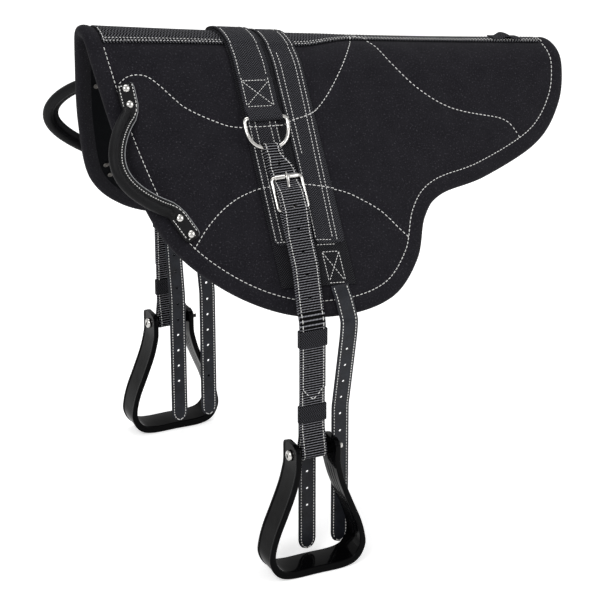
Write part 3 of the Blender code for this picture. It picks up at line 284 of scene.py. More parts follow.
def noise(tree, where, size, detail=2.0, roughness=0.5):
    """Noise whose grains are about size metres across."""
    return add(tree, "ShaderNodeTexNoise", {"Vector": where, "Scale": 1.0 / size, "Detail": detail,
                                            "Roughness": roughness}).outputs[0]


def object_map(tree):
    """The piece's place in its own frame, in metres."""
    return add(tree, "ShaderNodeTexCoord").outputs["Object"]


def surface(item, base, *heights, roughness=None):
    """Links a base colour, bumps as (height output, distance in metres, strength), and a roughness."""
    tree = item.node_tree
    shader = tree.nodes["Principled BSDF"]
    tree.links.new(base, shader.inputs["Base Color"])
    if roughness is not None:
        tree.links.new(roughness, shader.inputs["Roughness"])
    normal = None
    for height, distance, strength in heights:
        inputs = {"Strength": strength, "Distance": distance, "Height": height}
        if normal is not None:
            inputs["Normal"] = normal
        normal = add(tree, "ShaderNodeBump", inputs).outputs[0]
        tree.links.new(normal, shader.inputs["Normal"])
    return item


def brushed_suede():
    """Black split leather, brushed: matt, with a short nap, soft darker clouds and pale fibre flecks."""
    item, tree = new_material("brushed_suede", Roughness=0.92, Specular_IOR_Level=0.12,
                              Sheen_Weight=0.03, Sheen_Roughness=0.45)
    where = pattern_map(tree)
    clouds = noise(tree, where, 0.030, 4.0, 0.6)
    nap = noise(tree, where, 0.0022, 3.0, 0.65)
    flecks = noise(tree, where, 0.0024, 2.0)
    base = blend_colour(tree, stretch(tree, clouds, 0.35, 0.65), "131216", "1b1a1e")
    base = blend_colour(tree, stretch(tree, nap, 0.35, 0.70, 0.0, 0.75), base, "232228")
    base = blend_colour(tree, stretch(tree, flecks, 0.60, 0.76, 0.0, 0.55), base, "55545a")
    return surface(item, base, (clouds, 0.0012, 0.5), (nap, 0.0005, 0.75))


def felt_lining():
    """Needled black felt: matt and hairy, with no direction."""
    item, tree = new_material("needled_felt", Roughness=0.97, Specular_IOR_Level=0.08)
    hair = noise(tree, pattern_map(tree), 0.0024, 4.0, 0.7)
    base = blend_colour(tree, stretch(tree, hair, 0.3, 0.7), "050608", "0e0f12")
    return surface(item, base, (hair, 0.0008, 0.8))


def woven(name, dark, pale, pitch, zigzag=0.0, shine=0.2, depth=0.0004, highlight_crest=0.0):
    """Polypropylene webbing: ribs across it or a zigzag weave in columns; the pale colour above the crest is
    a painted highlight on the tops of the ribs and yarns.
    """
    item, tree = new_material(name, Roughness=0.62, Specular_IOR_Level=shine)
    where = pattern_map(tree)
    across, along = add(tree, "ShaderNodeSeparateXYZ", {0: where}).outputs[:2]
    if zigzag:
        along = calc(tree, "ADD", along, calc(tree, "PINGPONG", calc(tree, "ADD", across, 1.0), zigzag))
    rib = calc(tree, "SINE", calc(tree, "MULTIPLY", along, 2 * math.pi / pitch))
    yarn = calc(tree, "SINE", calc(tree, "MULTIPLY", across, 2 * math.pi / (0.6 * pitch)))
    weave = calc(tree, "MULTIPLY_ADD", yarn, 0.25, rib)
    fuzz = noise(tree, where, 0.0035, 3.0, 0.6)
    height = calc(tree, "MULTIPLY_ADD", fuzz, 0.6, weave)
    # Painted highlight: where the weave stands above the crest the colour turns pale, as light catching the
    # tops of the ribs and yarns
    base = blend_colour(tree, stretch(tree, height, highlight_crest, 1.5), dark, pale)
    return surface(item, base, (height, depth, 0.8))


def harness_leather(name, shine, dark, pale, coat):
    """Black vegetable-tanned leather with a dyed, burnished face: fine pores and a soft waxy gloss."""
    item, tree = new_material(name, Roughness=shine, Specular_IOR_Level=0.2, Coat_Weight=coat,
                              Coat_Roughness=0.35)
    where = pattern_map(tree)
    pores = add(tree, "ShaderNodeTexVoronoi", {"Vector": where, "Scale": 1.0 / 0.0016},
                feature="DISTANCE_TO_EDGE").outputs[0]
    wear = noise(tree, where, 0.018, 4.0, 0.6)
    base = blend_colour(tree, stretch(tree, wear, 0.35, 0.7), dark, pale)
    gloss = stretch(tree, wear, 0.3, 0.75, shine - 0.06, shine + 0.12)
    pits = stretch(tree, pores, 0.0, 0.12)
    return surface(item, base, (pits, 0.00012, 0.6), (wear, 0.0006, 0.35), roughness=gloss)


def painted_edge_highlight():
    """Cut edge of the hand holds: a grey that stands for the light along the edge, a painted highlight round
    the black leather.
    """
    item, tree = new_material("cut_edge_painted_highlight", Roughness=0.8)
    grain = noise(tree, pattern_map(tree), 0.0020, 3.0, 0.7)
    return surface(item, blend_colour(tree, grain, "6b6c6f", "a3a4a6"), (grain, 0.0003, 0.6))


def moulded_plastic():
    """Injection-moulded black nylon: glossy, with the faint ripple of its mould."""
    item, tree = new_material("moulded_nylon", Roughness=0.12, IOR=1.5, Specular_IOR_Level=0.07)
    where = object_map(tree)
    ripple = noise(tree, where, 0.030, 2.0)
    scuffs = noise(tree, where, 0.0040, 4.0, 0.7)
    base = blend_colour(tree, scuffs, "030304", "080809")
    gloss = stretch(tree, scuffs, 0.35, 0.75, 0.06, 0.20)
    return surface(item, base, (ripple, 0.0012, 0.4), (scuffs, 0.00008, 0.5), roughness=gloss)


def nickel_plate(name, dark, pale, shine):
    """Nickel plate on steel: bright metal with fine handling marks, or a darker nickel for the backs of the
    rivets and for the painted shade in the bolt sockets.
    """
    item, tree = new_material(name, Metallic=1.0, Roughness=shine)
    marks = noise(tree, object_map(tree), 0.0060, 4.0, 0.6)
    base = blend_colour(tree, stretch(tree, marks, 0.3, 0.7), dark, pale)
    gloss = stretch(tree, marks, 0.3, 0.75, shine - 0.04, shine + 0.10)
    return surface(item, base, (marks, 0.00006, 0.3), roughness=gloss)


def sewing_thread():
    """Bonded polyester thread, off-white: satin, with the turn of its strands."""
    item, tree = new_material("bonded_thread", Roughness=0.55)
    strands = noise(tree, object_map(tree), 0.0015, 2.0)
    return surface(item, blend_colour(tree, strands, "dddcd9", "fdfdfb"), (strands, 0.0002, 0.5))


SUEDE = brushed_suede()
FELT = felt_lining()
# The webbing's own ribs, 2.4 mm on the stirrup straps and finer on the bands, are drawn coarser to show;
# their pale tops are a painted highlight on the yarns, and on the grey spine strip partly its own grey
BAND_WEAVE = woven("band_webbing", "060608", "57575e", 0.0032, 0.0056, 0.12, 0.0004, 0.40)
PANEL_WEAVE = woven("panel_webbing", "070709", "38383d", 0.0032, 0.0100, 0.12, 0.0004, 0.30)
SPINE_WEAVE = woven("spine_webbing", "060608", "6c6c71", 0.0045, 0.0045, 0.06, 0.0006, 0.35)
STRAP_WEAVE = woven("strap_webbing", "050506", "a4a4ab", 0.0036, 0.0, 0.06, 0.0007, 0.80)
KEEPER_WEAVE = woven("keeper_webbing", "060607", "4d4d54", 0.0032, 0.0040, 0.12, 0.0004, 0.45)
BILLET_LEATHER = harness_leather("billet_leather", 0.32, "15161b", "21242c", 0.22)
HANDLE_LEATHER = harness_leather("handle_leather", 0.50, "08080a", "101013", 0.0)
EDGE_HIGHLIGHT = painted_edge_highlight()
NYLON = moulded_plastic()
NICKEL = nickel_plate("nickel_plate", "dcdad6", "f4f2ee", 0.16)
# Darker nickel: the backs of the rivets, and painted shade inside the bolt heads' sockets
DARK_NICKEL = nickel_plate("dark_nickel_backs_and_socket_shade", "4a4846", "7d7a76", 0.34)
THREAD = sewing_thread()


# Shapes on the pad

def span_share(x):
    """How far x lies from the middle of the ridge, as a share of the half span."""
    return (x - MID_X) / HALF_SPAN


def flap_angle(x):
    """Lean of the flaps from the vertical: 22 to 33.5 degrees, with the square of the distance from mid."""
    return math.radians(END_LEAN) + math.radians(SEAT_LEAN_GAIN) * (1.0 - np.minimum(span_share(x) ** 2, 1.0))


def ridge_height(x):
    """Height of the ridge: a straight fall of 7.87 degrees to the rear and a shallow dip in the seat."""
    dip = SEAT_DIP * (span_share(x) ** 2 - span_share(0.0) ** 2)
    return PAD_T - math.tan(math.radians(RIDGE_FALL)) * x + dip


def together(*values):
    """Values as arrays of one shape."""
    return np.broadcast_arrays(*(np.asarray(value, float) for value in values))


def place(x, s, lift):
    """Point for (x, s) raised by lift: an arc of 28 to 80 mm radius over the ridge, then a straight flap."""
    x, s, lift = together(x, s, lift)
    radius = END_RADIUS + SEAT_RADIUS_GAIN * (1.0 - np.minimum(span_share(x) ** 2, 1.0))
    lean = flap_angle(x)
    turn_end = math.pi / 2 - lean
    along = np.abs(s)
    turn = np.minimum(along / radius, turn_end)
    straight = np.maximum(along - radius * turn_end, 0.0)
    y = (radius + lift) * np.sin(turn) + straight * np.sin(lean)
    z = (radius + lift) * np.cos(turn) - radius - straight * np.cos(lean)
    return np.stack([x, np.where(s < 0, -y, y), ridge_height(x) + z], axis=-1)


def smooth_path(points, steps):
    """Catmull-Rom curve through the points."""
    pts = np.asarray(points, float)
    pts = np.vstack([2 * pts[0] - pts[1], pts, 2 * pts[-1] - pts[-2]])
    t = np.linspace(0.0, 1.0, steps, endpoint=False)[:, None]
    spans = [0.5 * (2 * b + (c - a) * t + (2 * a - 5 * b + 4 * c - d) * t ** 2
                    + (3 * b - a - 3 * c + d) * t ** 3)
             for a, b, c, d in zip(pts[:-3], pts[1:-2], pts[2:-1], pts[3:])]
    return np.vstack(spans + [pts[-2:-1]])


def lengths(path):
    """Distance along a path at each of its points."""
    return np.r_[0.0, np.cumsum(np.linalg.norm(np.diff(path, axis=0), axis=1))]


def at_marks(marks, along, values):
    """Rows of values read off at marks of the distance along."""
    return np.stack([np.interp(marks, along, column) for column in values.T], axis=-1)


def even_points(path, step):
    """Points a step apart along a path."""
    path = np.asarray(path, float)
    along = lengths(path)
    return at_marks(np.linspace(0.0, along[-1], max(2, int(round(along[-1] / step)) + 1)), along, path)


def eased(path, step, rounds=3):
    """Evenly spaced points, each averaged with its neighbours a few times, so that corners are rounded."""
    path = even_points(path, step)
    for _ in range(rounds):
        path[1:-1] = (path[:-2] + 2 * path[1:-1] + path[2:]) / 4
    return path


def ramp(value, start, end):
    """Share of the way from start to end, kept between 0 and 1."""
    return np.clip((value - start) / (end - start), 0.0, 1.0)


def ease(share):
    """S-shaped rise from 0 to 1: three times the square less twice the cube."""
    return share ** 2 * (3 - 2 * share)


def unit(vectors):
    """Vectors scaled to length one."""
    return vectors / np.maximum(np.linalg.norm(vectors, axis=-1, keepdims=True), 1e-12)


def half_outline():
    """The half outline as a fine curve of (x, s), from the ridge at the front to the ridge at the rear."""
    flip = (1.0, -1.0)
    return smooth_path(np.vstack([OUTLINE[1] * flip, OUTLINE, OUTLINE[-2] * flip]), 24)[24:-24]


def inset_outline(inset):
    """The half outline moved inwards along its normal."""
    curve = half_outline()
    ahead = unit(np.gradient(curve, axis=0))
    ahead[0] = (0.0, 1.0)
    ahead[-1] = (0.0, -1.0)
    return curve - inset * np.c_[-ahead[:, 1], ahead[:, 0]]


def over_strip(s):
    """Rise of a band where it passes over the spine strip."""
    return (STRIP_LIFT + STRIP_T) * (1.0 - ramp(np.abs(s), STRIP_HALF[0] + 0.002, STRIP_HALF[0] + 0.006))


def strip_half_width(x):
    """Half width of the spine strip: 34 mm as far as the bands, then an S-shaped taper to 13 mm."""
    return STRIP_HALF[0] + (STRIP_HALF[1] - STRIP_HALF[0]) * ease(ramp(x, *STRIP_TAPER))


# Sewn lines of one half as (x, s), in millimetres brought to metres
UPPER_SEAM = 0.001 * np.array([
    (-192, 91), (-180, 82), (-166, 79), (-151, 82), (-137, 94), (-122, 111), (-109, 125), (-90, 137),
    (-70, 147), (-50, 155), (-26, 158), (0, 158), (28, 156), (42, 150), (74, 140), (96, 123), (117, 100),
    (135, 77), (151, 55), (172, 23), (181, 3)])
REAR_SEAM = 0.001 * np.array([
    (186, 3), (201, 12), (209, 27), (219, 57), (241, 87), (266, 109), (294, 125), (324, 133), (356, 137),
    (382, 140), (398, 147), (408, 161), (413, 172)])
LOWER_SEAM = 0.001 * np.array([
    (-134, 324), (-113, 298), (-90, 276), (-65, 259), (-41, 249), (-24, 245), (10, 243), (41, 243),
    (67, 247), (97, 254), (120, 266), (145, 283), (167, 309), (182, 326)])


def distance_to_lines(x, s, lines):
    """Least distance from each point to any segment of the lines, worked out for one line at a time."""
    spots = np.stack([x, s], axis=-1).reshape(-1, 2)
    least = np.full(len(spots), 1.0)
    for line in lines:
        for a, b in zip(line[:-1], line[1:]):
            step = b - a
            share = np.clip(((spots - a) @ step) / max(step @ step, 1e-12), 0.0, 1.0)
            least = np.minimum(least, np.linalg.norm(spots - a - share[:, None] * step, axis=1))
    return least.reshape(np.shape(x))


SEAM_LINES = [smooth_path(line, 2) for line in (UPPER_SEAM, REAR_SEAM, LOWER_SEAM)]
SEAM_LINES += [inset_outline(BORDER)[::6]]
SEAM_LINES += [np.array([(x, 0.03), (x, PANEL_END_S)]) for x in PANEL_X]
SEAM_LINES += [np.array([(PANEL_X[0], PANEL_END_S), (PANEL_X[1], PANEL_END_S)])]
SEAM_LINES += [np.array([(x, float(strip_half_width(x))) for x in np.linspace(-0.205, 0.496, 40)])]


def on_panel(x, near):
    """Whether a point lies on the base panel."""
    return (x > PANEL_X[0]) & (x < PANEL_X[1]) & (near < PANEL_END_S)


def suede_lift(x, s):
    """Relief of the suede: 1.1 mm down at the sewn lines and 0.8 mm up between them, with slow waves."""
    near = np.abs(s)
    gap = distance_to_lines(x, near, SEAM_LINES)
    waves = (np.sin(31 * x + 9 * s + 0.6) * np.sin(24 * s - 13 * x + 1.1)
             + 0.6 * np.sin(57 * x - 38 * s + 2.0) * np.sin(49 * s + 21 * x))
    swell = -SEAM_SINK + SWELL * (1 - np.exp(-gap / 0.009)) + WAVES * waves * (1 - np.exp(-gap / 0.035))
    return np.where(on_panel(x, near) | (near < strip_half_width(x)), -0.0009, swell)


def sewn_top(x, s):
    """Lift of whatever layer lies on top at a point: suede, strip, panel or band."""
    near = np.abs(s)
    lift = suede_lift(x, s)
    lift = np.where(near < strip_half_width(x), STRIP_LIFT + STRIP_T, lift)
    lift = np.where(on_panel(x, near), PANEL_TOP + over_strip(s), lift)
    for middle in (FRONT_BAND_X, REAR_BAND_X):
        band = (np.abs(x - middle) < BAND_W / 2) & (near < BAND_END_S)
        lift = np.where(band, BAND_TOP + over_strip(s), lift)
    ring_band = (np.abs(x) < RING_BAND_W / 2) & (near < RING_S - 0.012)
    lift = np.where(ring_band, RING_BAND_LIFT + WEB_T / 2 + over_strip(s), lift)
    doubled = ring_band & (near > RING_TAIL_S - 0.002)
    return np.where(doubled, RING_BAND_LIFT + 1.5 * WEB_T + GAP, lift)


# Meshes

def add_object(name, data):
    """A new object in the scene that shows this data."""
    item = bpy.data.objects.new(name, data)
    bpy.context.scene.collection.objects.link(item)
    return item


def mesh_of(name, points, faces, pattern, skins, skin_index=None, sharp=40.0):
    """An object from whole arrays, faces turned so that the signed volume, a sum over fans, is positive."""
    halves = [(f[0], f[2], f[3]) for f in faces if len(f) == 4]
    triples = np.concatenate([np.array([f[:3] for f in faces]), np.array(halves).reshape(-1, 3)])
    a, b, c = (points[triples[:, k]] for k in range(3))
    middle = points.mean(axis=0)
    if np.einsum("ij,ij->", a - middle, np.cross(b - middle, c - middle)) < 0:
        faces = [f[::-1] for f in faces]
        pattern = [p[::-1] for p in pattern]
    mesh = bpy.data.meshes.new(name)
    mesh.from_pydata(points.tolist(), [], [list(f) for f in faces])
    layer = mesh.uv_layers.new(name="pattern")
    layer.data.foreach_set("uv", np.concatenate([np.asarray(p, float).ravel() for p in pattern]))
    for skin in skins:
        mesh.materials.append(skin)
    if skin_index is not None:
        mesh.polygons.foreach_set("material_index", np.asarray(skin_index, np.int32))
    mesh.shade_smooth()
    mesh.set_sharp_from_angle(angle=math.radians(sharp))
    return add_object(name, mesh)


def carried(name, rings, pattern, skins, closed=False, skin_of=None, sharp=40.0):
    """A closed profile carried along a path: rings[k, i] is its point i at step k; open ends are capped."""
    rings = np.asarray(rings, float)
    steps, around = rings.shape[:2]
    pattern = np.asarray(pattern, float)
    if pattern.shape[1] == around:
        pattern = np.concatenate([pattern, pattern[:, :1]], axis=1)
    if closed and pattern.shape[0] == steps:
        pattern = np.concatenate([pattern, pattern[:1]], axis=0)
    k, i = np.meshgrid(np.arange(steps if closed else steps - 1), np.arange(around), indexing="ij")
    corners = ((k, i), (k, i + 1), (k + 1, i + 1), (k + 1, i))
    faces = np.stack([(a % steps) * around + b % around for a, b in corners], axis=-1).reshape(-1, 4)
    maps = np.stack([pattern[a, b] for a, b in corners], axis=-2).reshape(-1, 4, 2)
    faces, maps = list(faces), list(maps)
    index = None if skin_of is None else [skin_of(j) for j in i.ravel()]
    if not closed:
        first = np.arange(around)[::-1]
        last = np.arange(around) + (steps - 1) * around
        faces += [first, last]
        maps += [pattern[0, first], pattern[-1, np.arange(around)]]
        if index is not None:
            index += [0, 0]
    return mesh_of(name, rings.reshape(-1, 3), faces, maps, skins, index, sharp)


def merge_doubles(item):
    """Joins points that coincide, at poles and on an axis."""
    bm = bmesh.new()
    bm.from_mesh(item.data)
    bmesh.ops.remove_doubles(bm, verts=bm.verts, dist=1e-6)
    bmesh.ops.dissolve_degenerate(bm, dist=1e-7, edges=bm.edges)
    bm.to_mesh(item.data)
    bm.free()
    return item


def darken_faces(item, inside):
    """Gives the darker nickel skin to the faces whose centres pass the test."""
    item.data.materials.append(DARK_NICKEL)
    centres = np.empty(len(item.data.polygons) * 3)
    item.data.polygons.foreach_get("center", centres)
    item.data.polygons.foreach_set("material_index", inside(centres.reshape(-1, 3)).astype(np.int32))


def dress(item, body, slot, *nodes):
    """Attaches a piece to its body and hides the nodes that it stands for; the slot is not used."""
    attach(item, body)
    if nodes:
        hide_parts(*nodes)
    return item


EDGE_TURN = np.radians((60.0, 30.0, 0.0, -30.0, -60.0))


def strap_section(columns):
    """Section of flat webbing with half-round edges, as (share of width, radii across, radii up)."""
    half = [(w, 0.0, 1.0) for w in np.linspace(-1.0, 1.0, columns)]
    half = np.array(half + [(1.0, math.cos(a), math.sin(a)) for a in EDGE_TURN])
    return np.vstack([half, -half])


def path_normals(path):
    """Unit normals of a path in its own plane, a quarter turn from its direction."""
    ahead = unit(np.gradient(path, axis=0))
    return np.c_[-ahead[:, 1], ahead[:, 0]]


def ribbon(name, path, half, thick, spot, skin, columns=7):
    """Flat webbing: the section carried along (along, lift) points, placed by spot(across, along, lift)."""
    path = np.asarray(path, float)
    half = np.broadcast_to(np.asarray(half, float), (len(path),))
    section = strap_section(columns)
    radius = thick / 2
    across = section[:, 0] * (half[:, None] - radius) + section[:, 1] * radius
    line = path[:, None, :] + path_normals(path)[:, None, :] * (section[:, 2] * radius)[None, :, None]
    rings = spot(across, line[..., 0], line[..., 1])
    pattern = np.stack([across, np.broadcast_to(lengths(path)[:, None], across.shape)], axis=-1)
    return carried(name, rings, pattern, [skin])


def wire(name, path, normal, radius, skin, sides=18):
    """A closed loop of round wire: a circle carried along the path, one direction kept along the normal."""
    path = np.asarray(path, float)
    normal = np.asarray(normal, float)
    ahead = unit(np.roll(path, -1, axis=0) - np.roll(path, 1, axis=0))
    out = unit(np.cross(ahead, normal))
    turn = np.linspace(0.0, 2 * math.pi, sides, endpoint=False)
    radius = np.broadcast_to(np.asarray(radius, float), (len(path),))[:, None, None]
    rings = path[:, None, :] + radius * (np.cos(turn)[None, :, None] * out[:, None, :]
                                         + np.sin(turn)[None, :, None] * normal)
    u, v = np.meshgrid(np.linspace(0, 2 * math.pi * float(radius.max()), sides), lengths(path))
    return carried(name, rings, np.stack([u, v], axis=-1), [skin], closed=True)


def turned(name, profile, centre, axis, skin, segments=32, sharp=35.0):
    """A turned solid: (radius, distance along the axis) points swept once round the axis."""
    axis = unit(np.asarray(axis, float))
    first = unit(np.cross(axis, (0.3, 0.5, 0.8)))
    second = np.cross(axis, first)
    profile = np.asarray(profile, float)
    turn = np.linspace(0.0, 2 * math.pi, segments, endpoint=False)
    spokes = np.cos(turn)[:, None] * first + np.sin(turn)[:, None] * second
    rings = np.asarray(centre) + profile[None, :, :1] * spokes[:, None, :] + profile[None, :, 1:] * axis
    pattern = np.stack(np.meshgrid(lengths(profile), turn * 0.005), axis=-1)
    return merge_doubles(carried(name, rings, pattern, [skin], closed=True, sharp=sharp))


def thread_rods(name, starts, ends, normals, body, radius=THREAD_RADIUS):
    """Stitches: rods of six sides from start to end that bow out along the normal and dip at their ends."""
    starts, ends, normals = (np.asarray(v, float).reshape(-1, 3) for v in (starts, ends, normals))
    share = np.array([0.0, 0.16, 0.5, 0.84, 1.0])
    size = np.array([0.5, 0.95, 1.0, 0.95, 0.5])
    rise = radius * np.array([-1.0, 0.25, 0.75, 0.25, -1.0])
    ahead = unit(ends - starts)
    side = unit(np.cross(ahead, normals))
    turn = np.linspace(0.0, 2 * math.pi, 6, endpoint=False)
    centre = (starts[:, None, :] + share[None, :, None] * (ends - starts)[:, None, :]
              + rise[None, :, None] * normals[:, None, :])
    circle = (np.cos(turn)[None, :, None] * normals[:, None, :]
              + np.sin(turn)[None, :, None] * side[:, None, :])
    points = centre[:, :, None, :] + (radius * size)[None, :, None, None] * circle[:, None, :, :]
    count = len(starts)
    k, i = np.meshgrid(np.arange(4), np.arange(6), indexing="ij")
    quads = np.stack([k * 6 + i, (k + 1) * 6 + i, (k + 1) * 6 + (i + 1) % 6, k * 6 + (i + 1) % 6], axis=-1)
    quads = (np.arange(count)[:, None, None] * 30 + quads.reshape(1, -1, 4)).reshape(-1, 4)
    base = np.arange(count)[:, None] * 30
    faces = list(quads) + list(base + np.arange(6)) + list(base + np.arange(29, 23, -1))
    maps = [np.zeros((len(f), 2)) for f in faces]
    item = mesh_of(name, points.reshape(-1, 3), faces, maps, [THREAD], sharp=80.0)
    if body:
        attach(item, body)
    return item


def sewn_rows(lines, sign, pitch, length):
    """Starts, ends and normals of stitches along lines of (x, s), on top of whatever they pass over."""
    rows = []
    for line in lines:
        along = lengths(line)
        marks = np.arange(0.0006, along[-1] - length, pitch)
        first, last = ((at_marks(m, along, line) * (1.0, sign)).T for m in (marks, marks + length))
        lift = np.maximum(sewn_top(*first), sewn_top(*last))
        start = place(*first, lift)
        rows.append((start, place(*last, lift), unit(place(*first, lift + 0.001) - start)))
    return [np.vstack(part) for part in zip(*rows)]


# Pad

def pad_body():
    """The padded body: rows of constant s from the outline's front to its rear, suede above, felt below."""
    inner = inset_outline(BORDER - 0.004)
    lowest = int(np.argmax(inner[:, 1]))
    front, rear = inner[:lowest + 1], inner[lowest:][::-1]
    reach = inner[lowest, 1] - 0.0003
    close = np.sin(np.linspace(0, math.pi / 2, 20)[1:])
    half = np.r_[np.arange(0.0, EVEN_ROWS_S, 0.004), EVEN_ROWS_S + (reach - EVEN_ROWS_S) * close]
    rows = np.r_[-half[:0:-1], half]
    near = np.abs(rows)
    ahead = np.interp(near, front[:, 1], front[:, 0])
    behind = np.interp(near, rear[:, 1], rear[:, 0])
    share = np.linspace(0.0, 1.0, 186)
    x = ahead[:, None] + (behind - ahead)[:, None] * share
    s = np.broadcast_to(rows[:, None], x.shape)
    lift = suede_lift(x, s)
    rim = distance_to_lines(x, np.abs(s), [inner[::6]])
    lift = np.where(rim < 0.0038, np.minimum(lift, -0.0018), lift)
    seam = distance_to_lines(x, np.abs(s), SEAM_LINES[:4])
    low = -PAD_T + 0.0009 * np.exp(-seam / 0.006)
    upper = place(x, s, lift)
    lower = place(x, s, low)[:, ::-1]
    rings = np.concatenate([upper, lower], axis=1)
    flat = np.stack([x, s], axis=-1)
    pattern = np.concatenate([flat, flat[:, ::-1]], axis=1)
    item = carried("pad_body", rings, pattern, [SUEDE, FELT], skin_of=lambda j: int(j >= len(share) - 1))
    dress(item, "pad", "black_suede", "suede_cover", "foam_core", "underside_lining")


def rolled_edge():
    """The rolled edge: a stuffed section carried round the outline, a little uneven along its length."""
    half = half_outline()
    loop = even_points(np.vstack([half, half[-2::-1] * (1.0, -1.0)]), 0.005)[:-1]
    ahead = unit(np.roll(loop, -1, axis=0) - np.roll(loop, 1, axis=0))
    out = np.c_[-ahead[:, 1], ahead[:, 0]]
    section = 0.001 * np.array([
        (-22.6, -2.6), (-21.7, -1.2), (-20.3, 0.2), (-17.8, 1.3), (-14.5, 2.1), (-10.5, 2.4), (-7.0, 1.9),
        (-4.2, 0.8), (-2.0, -1.0), (-0.6, -3.6), (0.0, -6.8), (-0.5, -10.0), (-1.9, -12.6), (-4.2, -14.4),
        (-7.5, -15.2), (-11.0, -15.3), (-15.0, -14.9), (-19.0, -14.1), (-22.2, -12.8), (-23.2, -10.0),
        (-23.2, -6.0)])
    turn = 2 * math.pi * np.arange(len(loop)) / len(loop)
    uneven = 0.00022 * (np.sin(23 * turn) + 0.7 * np.sin(41 * turn + 1.0) + 0.5 * np.sin(67 * turn + 2.0))
    swell = 0.5 - 0.5 * np.cos(2 * math.pi * ramp(section[:, 0], -ROLL_REACH, 0.0))
    spots = loop[:, None, :] + out[:, None, :] * section[None, :, :1]
    lift = section[None, :, 1] + uneven[:, None] * swell[None, :]
    rings = place(spots[..., 0], spots[..., 1], lift)
    u = lengths(section)
    v = np.r_[lengths(loop), lengths(loop)[-1] + 0.005]
    pattern = np.stack(np.broadcast_arrays(np.r_[u, u[-1] + 0.004][None, :], v[:, None]), axis=-1)
    item = carried("rolled_edge", rings, pattern, [SUEDE], closed=True)
    dress(item, "pad", "black_suede", "edge_binding")


def webbing_over_ridge():
    """Spine strip, base panel, the two bands and the rear loop."""
    x = np.arange(-0.2035, 0.4950, 0.004)
    path = np.c_[x, np.full(len(x), STRIP_LIFT + STRIP_T / 2)]

    def lengthways(across, along, lift):
        return place(along, across, lift)
    item = ribbon("spine_webbing", path, strip_half_width(x), STRIP_T, lengthways, SPINE_WEAVE, 19)
    dress(item, "pad", "grey_webbing", "spine_strip")

    def band(name, x0, x1, end, base, skin, node_name, corner=0.0):
        turn = np.linspace(0, math.pi / 2, 9)
        s = np.unique(np.r_[np.arange(0.0, end, 0.003), end - corner * (1 - np.cos(turn)), end])
        s = np.r_[-s[:0:-1], s]
        short = np.maximum(corner - (end - np.abs(s)), 0.0)
        half = (x1 - x0) / 2 - 0.9 * (corner - np.sqrt(np.maximum(corner ** 2 - short ** 2, 0.0)))
        lift = base + over_strip(s) + WEB_T / 2
        middle = (x0 + x1) / 2
        item = ribbon(name, np.c_[s, lift], half, WEB_T,
                      lambda across, along, up: place(middle + across, along, up), skin, 11)
        dress(item, "pad", "black_webbing", node_name)
    band("base_panel", *PANEL_X, PANEL_END_S, GAP, PANEL_WEAVE, "rigging_panel")
    for name, middle in (("front_webbing", FRONT_BAND_X), ("rear_webbing", REAR_BAND_X)):
        band(name + "_band", middle - BAND_W / 2, middle + BAND_W / 2, BAND_END_S, PANEL_TOP + GAP,
             BAND_WEAVE, name, BAND_CORNER)
    share = np.linspace(0.0, 1.0, 33)
    hump = np.sin(math.pi * ramp(share, 0.2, 0.8)) ** 2
    path = np.c_[LOOP_X + LOOP_LENGTH * (share - 0.5),
                 STRIP_LIFT + STRIP_T + 2 * GAP + WEB_T / 2 + LOOP_RISE * hump]
    item = ribbon("rear_loop", path, LOOP_W / 2, WEB_T, lengthways, KEEPER_WEAVE)
    dress(item, "pad", "black_webbing", "crupper_loop")


def arc(centre, radius, start, end, steps):
    """Points of an arc in the (along, lift) plane, angles in degrees."""
    turn = np.radians(np.linspace(start, end, steps))
    return np.c_[centre[0] + radius * np.cos(turn), centre[1] + radius * np.sin(turn)]


def strap_base(s):
    """Lift of the strap's under face along the flap, rising evenly from the D-ring to the flap's edge."""
    return 0.0044 + 0.0086 * (s - RING_S - RING_DEPTH) / (EDGE_S - RING_S - RING_DEPTH)


BOW_S = RING_S + RING_DEPTH
STRAP_LOOP = RING_WIRE + GAP + STRAP_T / 2 + BOW_SLACK
BOW_HEIGHT = STRAP_T / 2 + STRAP_LOOP
LOOP_CENTRE = (BOW_S - 0.0007, BOW_HEIGHT)
RING_LIFT = strap_base(BOW_S) + BOW_HEIGHT


def ring_webbing():
    """Top band over the ridge, each end folded round a D-ring's bar and back to its sewn box."""
    wrap = RING_WIRE + GAP + WEB_T / 2
    upper = RING_BAND_LIFT + WEB_T + GAP
    over = np.arange(RING_SLANT_S, -0.001, -0.005)
    half = np.vstack([
        [(RING_TAIL_S, RING_BAND_LIFT), (RING_TAIL_S + 0.03, RING_BAND_LIFT),
         (RING_S - 0.008, RING_BAND_LIFT + 0.0003)],
        arc((RING_S, RING_LIFT), wrap, -90, 112, 14),
        [(RING_S - 0.0090, RING_LIFT - 0.0002), (RING_S - 0.0155, upper + 0.0001),
         (RING_TAIL_S - 0.002, upper), (RING_TAIL_S - 0.012, RING_BAND_LIFT)],
        np.c_[over, RING_BAND_LIFT + over_strip(over)]])
    path = eased(np.vstack([half * (-1.0, 1.0), half[-2::-1]]), 0.0012)

    def spot(across, along, lift):
        near = np.abs(along)
        skew = RING_SKEW * across * ramp(near, RING_SLANT_S, RING_TAIL_S)
        return place(across, np.sign(along) * (near + skew), lift)
    item = ribbon("ring_band", path, RING_BAND_W / 2, WEB_T, spot, BAND_WEAVE, 9)
    dress(item, "pad", "black_webbing", "ring_webbing")


